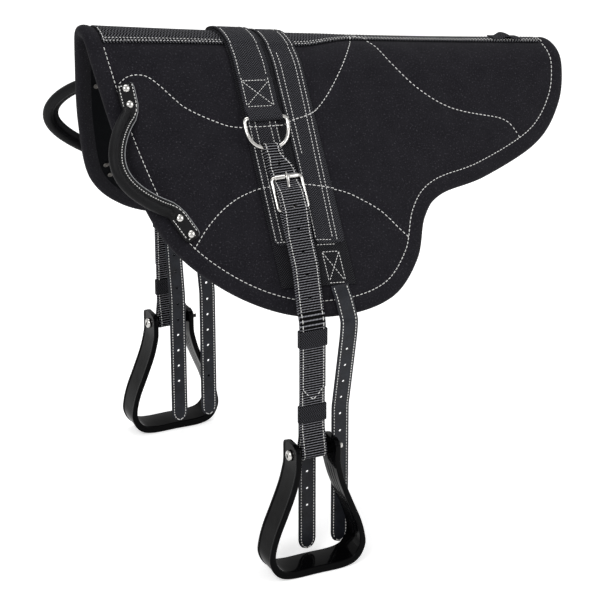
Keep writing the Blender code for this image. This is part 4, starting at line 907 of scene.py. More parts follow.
def pad_stitching():
    """All stitching of the pad: border, curved seams, spine rows, bands, sewn boxes."""
    border = inset_outline(BORDER - 0.0004)
    seams = [smooth_path(UPPER_SEAM, 6), smooth_path(REAR_SEAM, 6), smooth_path(LOWER_SEAM, 6),
             border[(border[:, 1] > 0.036) | (border[:, 0] > 0.3)]]
    spine = []
    for x0, x1, count, inset in ((-0.200, -0.030, 40, 0.0030), (0.081, 0.494, 90, 0.0028)):
        x = np.linspace(x0, x1, count)
        spine += [np.c_[x, strip_half_width(x) - inset - k] for k in (0.0, 0.0042)]
    # Rows along and across the bands, in millimetres
    curved = (((36.2, 4), (36.2, 91), (36.8, 213), (34.5, 322)), ((66, 4), (66, 91), (62.5, 213), (59, 322)),
              ((72.5, 4), (72.5, 91), (69, 213), (65, 327)), ((44, 50), (44.5, 91), (44, 200)))
    straight = (
        ((-201.5, 32), (-202.5, 2)), ((34.5, 321.5), (59, 322.5)), ((34.5, 328.5), (65, 328.5)),
        ((-22.5, 150), (-22.5, 322)), ((-14, 150), (-14, 322)), ((-22.5, 322.5), (16, 322.5)),
        ((7.6, 150), (7.6, 200)), ((16, 150), (16, 322)), ((-21.5, 3), (-21.5, 130)), ((18, 3), (18, 130)),
        ((-21, 93.5), (18, 92.5)), ((-21, 130.5), (18, 129.5)), ((-20, 95), (17, 128)),
        ((17, 95), (-20, 128)))
    rows = [smooth_path(0.001 * np.array(spots), 12) for spots in curved]
    rows += [even_points(0.001 * np.array(spots), 0.004) for spots in straight]
    low, high, upper, lower = BILLET_BOX
    box = (((low, upper), (high, upper)), ((low, upper), (low, lower)), ((high, upper), (high, lower)),
           ((low, lower), (high, lower)), ((low, upper + 0.001), (high, lower - 0.001)),
           ((high, upper + 0.001), (low, lower - 0.001)))
    rows += [even_points(spots, 0.004) for spots in box]
    groups = (("seam", seams, STITCH_PITCH, STITCH_LENGTH, THREAD_RADIUS, "black_suede"),
              ("webbing", rows, FINE_PITCH, FINE_LENGTH, FINE_RADIUS, "black_webbing"),
              ("spine", spine, SPINE_PITCH, SPINE_LENGTH, FINE_RADIUS, "grey_webbing"))
    for name, side in SIDES.items():
        for label, lines, pitch, length, radius, slot in groups:
            rods = sewn_rows(lines, side, pitch, length)
            thread_rods("%s_%s_stitching" % (name, label), *rods, "pad", radius)


# D-rings

def ring_frame(side):
    """Centre of a D-ring's bar, and its directions along the bar, down the flap and out of it."""
    reach = RING_BAND_W / 2
    ends = [place(x, side * (RING_S + RING_SKEW * x), RING_LIFT) for x in (-reach, reach)]
    centre = (place(0.0, side * RING_S, RING_LIFT) + (ends[0] + ends[1]) / 2) / 2
    bar = unit(ends[1] - ends[0])
    down = place(0.0, side * (RING_S + RING_DEPTH), RING_LIFT) - centre
    down = unit(down - bar * down.dot(bar))
    return centre, bar, down, np.cross(bar, down) * -side


def d_ring(name, side):
    """A D-ring of round wire: straight bar, short corners and a full bow, a superellipse of power 2.6."""
    centre, bar, down, out = ring_frame(side)
    flat = [(u, 0.0) for u in np.linspace(-RING_HALF_W + RING_CORNER, RING_HALF_W - RING_CORNER, 12)]
    turn = np.radians(np.linspace(-90.0, 0.0, 9)[1:-1])
    corner = [(RING_HALF_W - RING_CORNER * (1 - math.cos(a)), RING_CORNER * (1 + math.sin(a))) for a in turn]
    turn = np.radians(np.linspace(0.0, 180.0, 61))
    power = 2.0 / BOW_POWER
    bow = [(math.copysign(abs(math.cos(a)) ** power, math.cos(a)) * RING_HALF_W,
            RING_CORNER + (RING_DEPTH - RING_CORNER) * abs(math.sin(a)) ** power) for a in turn]
    shape = np.array(flat + corner + bow + [(-u, v) for u, v in corner[::-1]])
    shape = even_points(np.vstack([shape, shape[:1]]), 0.0016)[:-1]
    path = centre + shape[:, :1] * bar + shape[:, 1:] * down
    item = wire(name + "_ring_wire", path, out, RING_WIRE, NICKEL)
    dress(item, name + "_ring", "nickel", name + "_d_ring")


# Stirrup straps

BOW_SLANT = ring_frame(1.0)[1][1:] / ring_frame(1.0)[1][0]
EDGE_POINT = place(STRAP_X, EDGE_S, 0.0)
EDGE_LEAN = float(flap_angle(STRAP_X))
BEND_CENTRE = EDGE_POINT[1:] - EDGE_BEND * np.array((math.cos(EDGE_LEAN), math.sin(EDGE_LEAN)))
DROP_START_S = EDGE_S + EDGE_BEND * EDGE_LEAN
BACK = STRAP_T / 2
MIDDLE = BACK + STRAP_T + GAP
OUTER = MIDDLE + STRAP_T + GAP
HEEL_HEIGHT = MIDDLE + STRAP_T / 2 + GAP + BUCKLE_WIRE
ROLLER_RADIUS = BUCKLE_WIRE + GAP + ROLLER_T
TOP_BAR_HEIGHT = MIDDLE + STRAP_T / 2 + GAP + ROLLER_RADIUS
HEEL_WRAP = BUCKLE_WIRE + GAP + STRAP_T / 2
OVER_HEEL = HEEL_HEIGHT + HEEL_WRAP + STRAP_T + GAP
BOLT_HEIGHT = (BACK + MIDDLE) / 2
SLEEVE_WRAP = SLEEVE_RADIUS + GAP + STRAP_T / 2
BOLT_S = DROP_START_S + BEND_CENTRE[1] - BOLT_Z
TIP_S = DROP_START_S + BEND_CENTRE[1] - TIP_Z


def hang(x, s, height, side):
    """Point of the strap: x across, s along and height above its under face.

    It bends over the flap's edge on a 22 mm arc and then falls straight, and it slants over the ring's bow.
    """
    x, s, height = together(x, s, height)
    lift = height + strap_base(np.clip(s, RING_S, EDGE_S))
    middle = STRAP_X + np.interp(s, *np.transpose(STRAP_DRIFT))
    on_flap = place(middle, np.minimum(s, EDGE_S), lift)
    angle = EDGE_LEAN * (1.0 - ramp(s, EDGE_S, DROP_START_S))
    fall = np.maximum(s - DROP_START_S, 0.0)
    y = np.where(s > EDGE_S, BEND_CENTRE[0] + (EDGE_BEND + lift) * np.cos(angle), on_flap[..., 1])
    z = np.where(s > EDGE_S, BEND_CENTRE[1] + (EDGE_BEND + lift) * np.sin(angle) - fall, on_flap[..., 2])
    slant = x * ramp(s, BUCKLE_TOP_S - 0.010, BOW_S + 0.004)
    return np.stack([middle + x, side * (y + slant * BOW_SLANT[0]), z + slant * BOW_SLANT[1]], axis=-1)


def front_run():
    """The outer run from the bow through the buckle to the tip, as (s, height)."""
    crossing = BUCKLE_TOP_S + 0.27 * (BUCKLE_HEEL_S - BUCKLE_TOP_S)
    run = [(BOW_S + 0.006, BOW_HEIGHT + STRAP_LOOP - 0.0010),
           (BUCKLE_TOP_S - 0.018, MIDDLE + 0.0030), (BUCKLE_TOP_S - 0.011, MIDDLE + 0.0007),
           (BUCKLE_TOP_S - 0.005, MIDDLE), (BUCKLE_TOP_S + 0.001, MIDDLE),
           (BUCKLE_TOP_S + 0.005, MIDDLE + 0.0006),
           (crossing, MIDDLE + 0.45 * (OVER_HEEL - MIDDLE)), (crossing + 0.010, OVER_HEEL + 0.0002),
           (BUCKLE_HEEL_S - 0.008, OVER_HEEL + 0.0006), (BUCKLE_HEEL_S + 0.003, OVER_HEEL + 0.0004),
           (BUCKLE_HEEL_S + 0.014, OUTER + 0.0046), (RETURN_END_S + 0.0015, OUTER + STRAP_T + GAP + 0.0003),
           (RETURN_END_S + 0.014, OUTER)]
    curve = smooth_path(run, 6)
    rest = [(RETURN_END_S + 0.03, OUTER), (EDGE_S, OUTER), (TIP_S, OUTER)]
    return np.vstack([curve, rest])


def strap_path():
    """The strap's one run: buckle end, down, round the bolt sleeve, up, over the bow and down to the tip."""
    reach = 4.6 * SLEEVE_RADIUS
    meet = math.degrees(math.atan2(MIDDLE - BOLT_HEIGHT, -reach)
                        - math.acos(SLEEVE_WRAP / math.hypot(reach, MIDDLE - BOLT_HEIGHT)))
    parts = [
        [(RETURN_END_S, OUTER), (RETURN_END_S - 0.008, OUTER), (BUCKLE_HEEL_S + 0.008, OUTER + 0.0012),
         (BUCKLE_HEEL_S + 0.003, HEEL_HEIGHT + HEEL_WRAP - 0.0002)],
        arc((BUCKLE_HEEL_S, HEEL_HEIGHT), HEEL_WRAP, 90, 270, 17),
        [(BUCKLE_HEEL_S + 0.012, MIDDLE), (BOLT_S - reach - 0.004, MIDDLE),
         (BOLT_S - reach + 0.004, MIDDLE + 0.0007)],
        arc((BOLT_S, BOLT_HEIGHT), SLEEVE_WRAP, meet, -meet, 33),
        [(BOLT_S - reach + 0.004, BACK - 0.0007), (BOLT_S - reach - 0.004, BACK), (BOW_S + 0.01, BACK)],
        arc(LOOP_CENTRE, STRAP_LOOP, 270, 90, 17),
        front_run()]
    return eased(np.vstack(parts), 0.0009)


def punch(item, spots, directions, radius, depth):
    """Cuts round holes of twelve sides through a piece, and keeps the cut mesh."""
    bm = bmesh.new()
    for spot, direction in zip(spots, directions):
        turn = Vector(direction).to_track_quat("Z", "Y").to_matrix().to_4x4()
        turn.translation = Vector(spot)
        bmesh.ops.create_cone(bm, cap_ends=True, segments=12, radius1=radius, radius2=radius, depth=depth,
                              matrix=turn)
    mesh = bpy.data.meshes.new("punch")
    bm.to_mesh(mesh)
    bm.free()
    cutter = add_object("punch", mesh)
    modifier = item.modifiers.new("punch", "BOOLEAN")
    modifier.operation = "DIFFERENCE"
    modifier.solver = "EXACT"
    modifier.object = cutter
    bpy.context.view_layer.update()
    result = bpy.data.meshes.new_from_object(item.evaluated_get(bpy.context.evaluated_depsgraph_get()))
    item.modifiers.clear()
    item.data = result
    bpy.data.objects.remove(cutter, do_unlink=True)


def rows_on_ribbon(path, half, thick, spot, inset, bar=None):
    """Stitches along both edges and faces of a strap; none inside its fold round a bar at (along, lift)."""
    along = lengths(path)
    normal = path_normals(path)
    half = np.broadcast_to(np.asarray(half, float), (len(path),))
    last = along[-1] - FINE_LENGTH - 0.0009
    all_marks = np.r_[np.arange(0.003, last - 0.8 * FINE_PITCH, FINE_PITCH), last]
    rows = []

    def at(mark, edge, face, extra):
        rise = face * (thick / 2 + extra)
        a, b, na, nb, w = (np.interp(mark, along, v) for v in (*path.T, *normal.T, half))
        return spot(edge * np.maximum(w - inset, 0.0), a + na * rise, b + nb * rise)
    for edge in (-1.0, 1.0):
        for face in (1.0, -1.0):
            marks = all_marks
            if bar is not None:
                near, far = (np.linalg.norm(path + k * normal - bar, axis=1) for k in (face * thick / 2, 0.0))
                inside = np.interp(all_marks, along, ((near < far) & (near < 0.013)).astype(float)) > 0
                marks = all_marks[~inside]
            start = at(marks, edge, face, 0.0)
            end = at(marks + FINE_LENGTH, edge, face, 0.0)
            rows.append((start, end, unit(at(marks, edge, face, 0.001) - start)))
    return [np.vstack(part) for part in zip(*rows)]


def stirrup_strap(name, side):
    """A stirrup strap, gathered where it passes over the D-ring and pointed at its tip, with its stitches."""
    path = strap_path()
    along = lengths(path)
    spread = ease(ramp(path[:, 0], BOW_S + 0.008, BUCKLE_TOP_S - 0.012))
    half = GATHERED_HALF + (STRAP_W / 2 - GATHERED_HALF) * spread
    half = half * (0.10 + 0.90 * ramp(along, along[-1], along[-1] - TIP_POINT) ** 0.75)

    def spot(x, a, b):
        return hang(x, a, b, side)
    item = ribbon(name + "_strap_webbing", path, half, STRAP_T, spot, STRAP_WEAVE, 9)
    run = front_run()
    spots, ways = [], []
    for hole in FIRST_HOLE_S + np.delete(np.arange(HOLE_COUNT), BUCKLED_HOLE) * HOLE_PITCH:
        height = float(np.interp(hole, run[:, 0], run[:, 1]))
        slope = float(np.interp(hole + 0.001, run[:, 0], run[:, 1])) - height
        spots.append(spot(0.0, hole, height))
        ways.append(spot(0.0, hole - slope, height + 0.001) - spots[-1])
    punch(item, spots, ways, STRAP_HOLE_RADIUS, STRAP_T + GAP)
    dress(item, name + "_strap", "black_webbing", name + "_stirrup_strap")
    rods = rows_on_ribbon(path, half, STRAP_T, spot, STRAP_SEAM_INSET, LOOP_CENTRE)
    thread_rods(name + "_strap_stitching", *rods, name + "_strap")


def round_corners(half, low, high, radius, steps):
    """A closed rectangle with round corners about four centres, and the outward direction at its points."""
    turn = (np.arange(4)[:, None] * math.pi / 2 + np.linspace(0.0, math.pi / 2, steps)).ravel()
    out = np.c_[np.cos(turn), np.sin(turn)]
    path = np.repeat([(half, high), (-half, high), (-half, low), (half, low)], steps, axis=0) + radius * out
    return path, out


def buckle(name, side):
    """A roller buckle: a round-cornered wire frame, a sleeve on its top bar and a tongue from its heel."""
    half = STRAP_W / 2 + BUCKLE_SLACK + BUCKLE_WIRE
    path = round_corners(half - BUCKLE_CORNER, BUCKLE_TOP_S + BUCKLE_CORNER, BUCKLE_HEEL_S - BUCKLE_CORNER,
                         BUCKLE_CORNER, 7)[0]
    path = np.roll(path, 7, axis=0)
    path = even_points(np.vstack([path, path[:1]]), 0.0016)[:-1]
    share = (path[:, 1] - BUCKLE_TOP_S) / (BUCKLE_HEEL_S - BUCKLE_TOP_S)
    points = hang(path[:, 0], path[:, 1], TOP_BAR_HEIGHT + (HEEL_HEIGHT - TOP_BAR_HEIGHT) * share, side)
    third = len(points) // 3
    normal = unit(np.cross(points[third] - points[0], points[2 * third] - points[0]))
    radius = BUCKLE_WIRE * (1.0 - 0.10 * np.sin(math.pi * share))
    item = wire(name + "_buckle_wire", points, normal, radius, NICKEL)
    dress(item, name + "_strap", "nickel", name + "_buckle_frame")
    top = hang(0.0, BUCKLE_TOP_S, TOP_BAR_HEIGHT, side)
    bore = BUCKLE_WIRE + GAP
    reach = ROLLER_HALF
    profile = [(bore, -reach), (ROLLER_RADIUS - 0.0002, -reach), (ROLLER_RADIUS, -reach + 0.0004),
               (ROLLER_RADIUS, reach - 0.0004), (ROLLER_RADIUS - 0.0002, reach), (bore, reach)]
    item = turned(name + "_roller_tube", profile, top, (1, 0, 0), NICKEL, 28)
    dress(item, name + "_roller", "nickel", name + "_buckle_roller")
    eye = BUCKLE_WIRE + GAP + TONGUE_T / 2
    over_roller = TOP_BAR_HEIGHT + ROLLER_RADIUS + GAP + TONGUE_T / 2
    over_heel = HEEL_HEIGHT + eye
    arm = [(BUCKLE_HEEL_S, over_heel), (BUCKLE_HEEL_S - 0.010, over_heel - 0.0012),
           (BUCKLE_HEEL_S - 0.022, over_heel - 0.0016), (BUCKLE_TOP_S + 0.014, over_heel - 0.0006),
           (BUCKLE_TOP_S + 0.006, over_roller - 0.0002), (BUCKLE_TOP_S, over_roller + 0.0004),
           (BUCKLE_TOP_S - 0.006, over_roller - 0.0008)]
    coil = arc((BUCKLE_HEEL_S, HEEL_HEIGHT), eye, 178, 450, 30)
    path = eased(np.vstack([coil, smooth_path(arm, 6)[1:]]), 0.0007, 2)
    along = lengths(path)
    taper = ramp(along, along[-1], along[-1] - 0.008)
    item = ribbon(name + "_tongue_wire", path, 0.0018 * (0.62 + 0.38 * taper), TONGUE_T,
                  lambda x, a, b: hang(x, a, b, side), NICKEL, 3)
    dress(item, name + "_tongue", "nickel", name + "_buckle_tongue")


def keeper(name, side, which, top_s, layers):
    """A woven keeper: webbing of 25 mm carried round the strap's layers on a rectangle with round corners."""
    half = STRAP_W / 2 + KEEPER_SLACK
    low, high = -GAP, layers * STRAP_T + (layers - 1) * GAP + 2 * GAP
    radius = KEEPER_T / 2
    path, out = (np.vstack([v, v[:1]]) for v in round_corners(half, low, high, radius, 6))
    along = lengths(path)
    marks = np.linspace(0.0, along[-1], 97)[:-1]
    path, out = (at_marks(marks, along, v) for v in (path, out))
    section = strap_section(7)
    down = section[:, 0] * (KEEPER_LENGTH / 2 - radius) + section[:, 1] * radius + top_s + KEEPER_LENGTH / 2
    face = section[:, 2] * radius
    rings = hang(path[:, :1] + out[:, :1] * face, np.broadcast_to(down, (len(path), len(down))),
                 path[:, 1:] + out[:, 1:] * face, side)
    pattern = np.stack(np.broadcast_arrays(down[None, :], np.r_[marks, along[-1]][:, None]), axis=-1)
    item = carried("%s_%s_keeper_loop" % (name, which), rings, pattern, [KEEPER_WEAVE], closed=True)
    dress(item, "%s_keeper_%s" % (name, which), "black_webbing", "%s_%s_keeper" % (name, which))


# Stirrups

def stirrup_line():
    """Centre line of the stirrup's wall in its own plane, as (x, z) below the bolt."""
    low = STIRRUP_TOP - STIRRUP_HEIGHT + TREAD_T / 2
    wide, neck = STIRRUP_HALF_W, NECK_HALF
    half = [(neck, -0.013), (neck + 0.0015, -0.024), (neck + 0.2 * (wide - neck), 0.28 * low),
            (neck + 0.5 * (wide - neck), 0.46 * low), (neck + 0.8 * (wide - neck), 0.63 * low),
            (wide - 0.0015, 0.77 * low), (wide - 0.0015, 0.87 * low), (wide - 0.012, 0.965 * low),
            (wide - 0.032, low), (0.0, low)]
    curve = np.vstack([[(neck, STIRRUP_TOP), (neck, STIRRUP_TOP - 0.009)], smooth_path(half, 10)])
    curve = even_points(curve, 0.0025)
    curve[1:-1] = (curve[:-2] + 2 * curve[1:-1] + curve[2:]) / 4
    return np.vstack([curve, (curve * (-1.0, 1.0))[-2::-1]])


def stirrup(name, side):
    """A moulded stirrup: a wall with raised rims outside and fine grooves inside, carried along a bell."""
    bolt = hang(0.0, BOLT_S, BOLT_HEIGHT, side)
    line = stirrup_line()
    out = path_normals(line)
    low = STIRRUP_TOP - STIRRUP_HEIGHT
    wall = (STIRRUP_WALL + (TREAD_T - STIRRUP_WALL) * ramp(line[:, 1], 0.75 * low, low)) / 2
    crown = ramp(line[:, 1], STIRRUP_TOP - 0.009, STIRRUP_TOP)
    deep = STIRRUP_DEPTH / 2 - 0.010 * (1 - np.sqrt(np.maximum(1 - crown ** 2, 0.0)))
    turn = np.radians(np.linspace(0.0, 90.0, 6))
    soft = 0.0016
    outer = [(w, 0.0, 1.0) for w in np.linspace(1.0, -1.0, 61)]
    bend = [(-1.0, -math.sin(a), math.cos(a)) for a in turn[1:]]
    outer += bend + [(w, a, -b) for w, a, b in bend[-2::-1]]
    section = np.vstack([outer, -np.array(outer)])
    w, a, b = section.T
    d = w * (deep[:, None] - soft) + a * soft
    height = (wall[:, None] - soft) * np.sign(b) + b * soft
    height = np.where(np.abs(b) < 1e-9, 0.0, height)
    rim = ease(ramp(deep[:, None] - np.abs(d), RIM_W, RIM_W + 0.0012))
    height = height - RIM_RISE * rim * (b == 1.0)
    grooves = sum(np.exp(-((d - g) / 0.0008) ** 2) for g in GROOVES)
    depth = line[:, 1:] / low
    plain = ramp(depth, 0.12, 0.20) * ramp(depth, 0.80, 0.75)
    height = height + GROOVE_DEPTH * grooves * (b == -1.0) * plain
    dish = (1 - (d / (STIRRUP_DEPTH / 2)) ** 2) * ramp(depth, 0.93, 0.96)
    height = height - TREAD_DISH * dish * (b == -1.0)
    x = bolt[0] + line[:, :1] + out[:, :1] * height
    z = bolt[2] + line[:, 1:] + out[:, 1:] * height
    rings = np.stack([x, np.broadcast_to(bolt[1] + d, x.shape), z], axis=-1)
    u = np.r_[lengths(section[:, :2] * 0.02), 0.09]
    pattern = np.stack(np.broadcast_arrays(u[None, :], lengths(line)[:, None]), axis=-1)
    item = carried(name + "_stirrup_bell", rings, pattern, [NYLON], sharp=50.0)
    punch(item, [bolt], [(1, 0, 0)], BOLT_RADIUS + GAP, 3 * NECK_HALF)
    body = name + "_stirrup_body"
    dress(item, body, "black_plastic", name + "_stirrup")
    face = NECK_HALF + STIRRUP_WALL / 2 + GAP
    end = face + BOLT_OVERRUN
    r = BOLT_HEAD_RADIUS
    head = [(0.0, 0.0012), (0.0027, 0.0012), (0.0030, 0.0034), (0.0036, 0.0040), (0.0052, 0.0038),
            (0.0068, 0.0030), (r - 0.0003, 0.0016), (r, 0.0006), (r, 0.0), (BOLT_RADIUS, 0.0)]
    profile = [(radius, -face - rise) for radius, rise in head]
    profile += [(BOLT_RADIUS, end - 0.0008), (BOLT_RADIUS - 0.0008, end), (0.0, end)]
    item = turned(name + "_bolt_turned", profile, bolt, (1, 0, 0), NICKEL, 36)
    # Painted shade: the faces inside the bolt head's socket get the darker nickel, for the shade in the
    # recess
    darken_faces(item, lambda centres: (centres[:, 0] < bolt[0] - face)
            & (np.linalg.norm((centres - bolt)[:, 1:], axis=1) < SOCKET_RADIUS))
    dress(item, body, "nickel", name + "_stirrup_bolt")
    for node_name, skin in ((name + "_bolt_nut", NICKEL), (name + "_bolt_sleeve", NYLON)):
        paint(node_name, skin)


def paint(node_name, skin):
    """Gives a carried-over solid its material."""
    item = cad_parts[node_name]
    if not item.data.materials:
        item.data.materials.append(skin)
    for slot in item.material_slots:
        slot.material = skin


# Billets

def billet(name, side, which, x):
    """A billet: one leather strap, sewn over the border, that hangs from the flap's edge to its point."""
    over_border = 0.0018 + 0.0022 + BILLET_T / 2
    at_panel = GAP + BILLET_T / 2
    s = np.array([PANEL_END_S + 0.0004, PANEL_END_S + 0.008, PANEL_END_S + 0.018, BILLET_EDGE_S])
    lift = np.array([at_panel, at_panel + 0.0002, over_border - 0.0003, over_border])
    sewn = place(x, s, lift)[:, 1:]
    start = place(x, BILLET_EDGE_S + GAP + BILLET_T / 2, over_border)
    lean = float(flap_angle(x))
    fall = np.array((math.sin(lean), -math.cos(lean)))
    begin = start[1:]
    line = smooth_path([begin, begin + 0.003 * fall, begin + (0.0020, -0.010), begin + (0.0008, -0.021),
                        begin + (-0.0022, -0.038), (BILLET_PLANE_Y, BILLET_PLANE_Z)], 8)
    path = eased(np.vstack([sewn, line, [(BILLET_PLANE_Y, BILLET_TIP_Z)]]), 0.0022)
    to_tip = ramp(path[:, 1], BILLET_TIP_Z, BILLET_TIP_Z + BILLET_POINT)
    half = BILLET_W / 2 * (0.12 + 0.88 * np.sqrt(1 - (1 - to_tip) ** 2))

    def spot(across, y, z):
        return np.stack(np.broadcast_arrays(x + across, side * y, z), axis=-1)
    label = "%s_%s_billet" % (name, which)
    item = ribbon(label + "_strap", path, half, BILLET_T, spot, BILLET_LEATHER, 7)
    heights = BILLET_TIP_Z + BILLET_LAST_HOLE + np.arange(BILLET_HOLES) * BILLET_HOLE_PITCH
    depths = np.interp(-heights, -path[:, 1], path[:, 0])
    ways = [(0, 1, 0)] * BILLET_HOLES
    punch(item, spot(0.0, depths, heights), ways, BILLET_HOLE_RADIUS, 3 * BILLET_T)
    rows = rows_on_ribbon(path, half, BILLET_T, spot, BILLET_SEAM_INSET)
    rods = thread_rods(label + "_stitching", *rows, None)
    for piece in (item, rods):
        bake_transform(piece)
    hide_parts(label, label + "_end")


# Hand holds

def handle(name, side):
    """A rolled hand hold: a round roll with a sewn flange that flattens into a riveted tab at each end."""
    flat = TAB_LIFT + TAB_T / 2
    tabs = []
    for inner, outer in (RIVETS["upper"], RIVETS["lower"]):
        inner, outer = np.array(inner), np.array(outer)
        away = unit(outer - inner)
        tabs.append(np.array([outer + away * 0.008, outer + away * 0.005, outer, (inner + outer) / 2, inner,
                              inner - away * 0.0078]))
    top, bottom = tabs[0][-1], tabs[1][-1]
    chord = unit(bottom - top)
    ahead = np.array([-chord[1], chord[0]])
    k = np.linspace(0.0, 1.0, 49)[1:-1]
    bow = np.sin(math.pi * k)
    full = bow ** 0.75
    spots = top + (bottom - top) * k[:, None] + ahead * HANDLE_BOW * full[:, None]
    where = np.vstack([tabs[0], spots, tabs[1][::-1]])
    held = np.zeros(len(tabs[0]))
    lift = flat + np.r_[held, HANDLE_STAND * full, held]
    rolled = ease(np.r_[held, np.minimum(1.0, 10 * bow), held])
    centres = place(where[:, 0], side * where[:, 1], lift)
    centres[5:-5] = (centres[4:-6] + 2 * centres[5:-5] + centres[6:-4]) / 4
    tangent = unit(np.gradient(centres, axis=0))
    x, s = where[:, 0], side * where[:, 1]
    up = unit(place(x, s, lift + 0.001) - place(x, s, lift))
    across = unit(np.cross(up, tangent) * side)
    up = unit(np.cross(tangent, across) * side)
    wide, thin, fin = TAB_HALF_W, TAB_T / 2, HANDLE_FLANGE
    radius = HANDLE_RADIUS
    edge = [(radius + fin, -0.0008), (radius + fin, 0.0008), (radius + fin - 0.0013, FLANGE_LIFT),
            (radius + 0.5 * fin, FLANGE_LIFT), (radius + 0.05 * fin, 0.0019)]
    turn = np.radians(np.linspace(20.0, 340.0, 26))
    circle = np.c_[radius * np.cos(turn), radius * np.sin(turn)]
    round_shape = np.vstack([edge, circle, [(u, -v) for u, v in edge[:1:-1]]])
    edge = [(wide, -0.0008), (wide, 0.0008), (wide - 0.0014, thin), (wide - 0.0030, thin),
            (wide - 0.0055, thin)]
    plate = even_points([(wide - 0.0065, thin), (-wide + 0.001, thin), (-wide, thin - 0.001),
                         (-wide, -thin + 0.001), (-wide + 0.001, -thin), (wide - 0.0065, -thin)], 0.001)
    plate = plate[np.round(np.linspace(0, len(plate) - 1, 26)).astype(int)]
    flat_shape = np.vstack([edge, plate, [(u, -v) for u, v in edge[:1:-1]]])
    shape = flat_shape[None] * (1 - rolled[:, None, None]) + round_shape[None] * rolled[:, None, None]
    ends = np.ones(len(where))
    ends[[0, -1]] = 0.62
    ends[[1, -2]] = 0.92
    u = -shape[..., 0] * ends[:, None]
    rings = centres[:, None] + across[:, None] * u[..., None] + up[:, None] * shape[..., 1:]
    pattern = np.stack(np.broadcast_arrays(lengths(round_shape)[None, :], lengths(centres)[:, None]), axis=-1)
    # The two outer points of the flange's edge get the grey painted highlight
    item = carried(name + "_hand_hold", rings, pattern, [HANDLE_LEATHER, EDGE_HIGHLIGHT], sharp=50.0,
                   skin_of=lambda j: 1 if j in (0, 1) else 0)
    dress(item, "pad", "black_leather", name + "_handle")
    rows = []
    along = lengths(centres)
    far = along[-1] - 0.008
    inner = -wide + 0.0030
    runs = ((0.003, far, wide - 0.0032, radius + 0.32 * fin), (0.003, along[5], inner, inner),
            (along[-6], far, inner, inner))
    for begin, end, on_tab, on_roll in runs:
        marks = np.arange(begin, end, FINE_PITCH)
        tips = []
        for mark in (marks, marks + FINE_LENGTH):
            c, w, n = (at_marks(mark, along, v) for v in (centres, across, up))
            share = np.interp(mark, along, rolled)[:, None]
            reach = on_tab + (on_roll - on_tab) * share
            tips.append((c - w * reach + n * (thin + (FLANGE_LIFT - thin) * share), n))
        rows.append((tips[0][0], tips[1][0], unit(tips[0][1])))
    reach = np.arange(-0.0080, 0.0085 - FINE_LENGTH, FINE_PITCH)[:, None]
    for mark in (0.0040, along[-1] - 0.0040):
        c, w, n = (at_marks(mark, along, v) for v in (centres, across, up))
        rows.append((c - w * reach + n * thin, c - w * (reach + FINE_LENGTH) + n * thin, n + 0.0 * reach))
    rods = (np.vstack(part) for part in zip(*rows))
    thread_rods(name + "_handle_stitching", *rods, "pad")


def rivets(name, side):
    """Rivets: a domed cap outside and a dished washer on the lining, seated as the solids are."""
    for end_name, pair in RIVETS.items():
        for which, spot in zip(("inner", "outer"), pair):
            node_name = "%s_%s_%s_rivet" % (name, end_name, which)
            face = place(spot[0], side * spot[1], 0.0)
            out = unit(place(spot[0], side * spot[1], 0.001) - face)
            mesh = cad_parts[node_name].data
            points = np.empty(len(mesh.vertices) * 3)
            mesh.vertices.foreach_get("co", points)
            reach = (points.reshape(-1, 3) - face) @ out
            top, low = float(reach.max()), float(reach.min())
            r = RIVET_RADIUS
            seat = top - CAP_T
            profile = [(0.0, top), (0.35 * r, top - 0.00012), (0.62 * r, top - 0.0006),
                       (0.84 * r, top - 0.0013), (0.97 * r, top - 0.0021), (r, seat + 0.0003),
                       (0.96 * r, seat), (SHANK_RADIUS, seat), (SHANK_RADIUS, low + 0.0012),
                       (0.8 * r, low + 0.0012), (0.82 * r, low + 0.0007), (0.7 * r, low + 0.0001),
                       (0.42 * r, low), (0.36 * r, low + 0.0005), (0.0, low + 0.0006)]
            item = turned(node_name + "_cap", profile, face, out, NICKEL, 28)
            darken_faces(item, lambda centres: (centres - face) @ out < seat - WASHER_DEPTH)
            dress(item, "pad", "nickel", node_name)


# Stage

def set_camera():
    """The camera at the photograph's viewing angle: 25.3 degrees round to the front and 22 degrees above."""
    azimuth, elevation = math.radians(CAMERA_AZIMUTH), math.radians(CAMERA_ELEVATION)
    back = Vector((math.sin(azimuth) * math.cos(elevation), -math.cos(azimuth) * math.cos(elevation),
                   math.sin(elevation)))
    data = bpy.data.cameras.new("camera")
    data.sensor_width = 36.0
    data.lens = CAMERA_LENS
    data.clip_end = 50.0
    item = add_object("camera", data)
    item.location = Vector(CAMERA_AIM) + back * CAMERA_DISTANCE
    item.rotation_mode = "QUATERNION"
    item.rotation_quaternion = (-back).to_track_quat("-Z", "Y")
    bpy.context.scene.camera = item


def soft_light(name, where, aim, size, power):
    """A large square lamp turned to its aim."""
    data = bpy.data.lights.new(name, "AREA")
    data.shape = "RECTANGLE"
    data.size, data.size_y = size
    data.energy = power
    item = add_object(name, data)
    item.location = where
    item.rotation_mode = "QUATERNION"
    item.rotation_quaternion = (Vector(aim) - Vector(where)).to_track_quat("-Z", "Y")


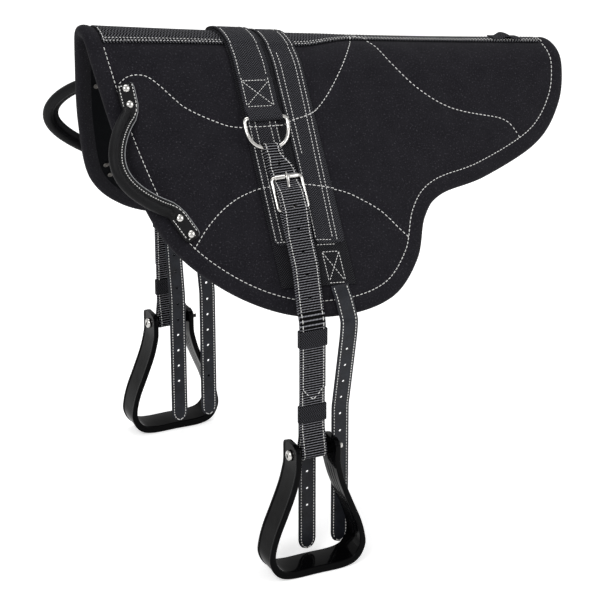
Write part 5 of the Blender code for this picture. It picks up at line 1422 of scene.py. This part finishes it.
def studio():
    """Plain pale floor, a white room and three soft lamps."""
    item, tree = new_material("painted_floor", Roughness=0.9, Specular_IOR_Level=0.1,
                              Emission_Color=colour("ffffff"))
    surface(item, blend_colour(tree, noise(tree, object_map(tree), 0.4), "fbfbfb", "ffffff"))
    seen = add(tree, "ShaderNodeLightPath").outputs["Is Camera Ray"]
    glow = tree.nodes["Principled BSDF"].inputs["Emission Strength"]
    tree.links.new(stretch(tree, seen, 0.0, 1.0, 0.0, FLOOR_GLOW), glow)
    bottom = float(CAD_BOX[0][2]) - 0.001
    mesh = bpy.data.meshes.new("floor")
    reach = FLOOR_SIZE / 2
    mesh.from_pydata([(x * reach, y * reach, bottom) for x, y in ((-1, -1), (1, -1), (1, 1), (-1, 1))], [],
                     [(0, 1, 2, 3)])
    mesh.materials.append(item)
    floor = add_object("floor", mesh)
    world = bpy.data.worlds.new("white_room")
    bpy.context.scene.world = world
    world.use_nodes = True
    tree = world.node_tree
    tree.nodes.clear()
    seen = add(tree, "ShaderNodeLightPath").outputs["Is Camera Ray"]
    strength = stretch(tree, seen, 0.0, 1.0, 0.5, 1.0)
    light = add(tree, "ShaderNodeBackground", {"Color": (1.0, 1.0, 1.0, 1.0), "Strength": strength})
    out = add(tree, "ShaderNodeOutputWorld", {0: light.outputs[0]})
    out.is_active_output = True
    soft_light("key_lamp", (-2.4, -2.6, 2.4), LAMP_AIM, (1.6, 1.6), 62.0)
    soft_light("fill_lamp", (2.8, -2.4, 1.2), LAMP_AIM, (1.8, 1.8), 32.0)
    soft_light("top_lamp", (0.4, 1.2, 3.2), LAMP_AIM, (2.2, 2.2), 42.0)


def main():
    """Dresses the whole pad."""
    set_camera()
    studio()
    pad_body()
    rolled_edge()
    webbing_over_ridge()
    ring_webbing()
    pad_stitching()
    for name, side in SIDES.items():
        d_ring(name, side)
        stirrup_strap(name, side)
        buckle(name, side)
        keeper(name, side, "upper", DROP_START_S + 0.003, 3)
        keeper(name, side, "lower", BOLT_S - 0.071, 2)
        stirrup(name, side)
        handle(name, side)
        rivets(name, side)
        for which, x in BILLETS.items():
            billet(name, side, which, x)


main()
bpy.context.scene.view_settings.view_transform = "Standard"
bpy.context.view_layer.update()
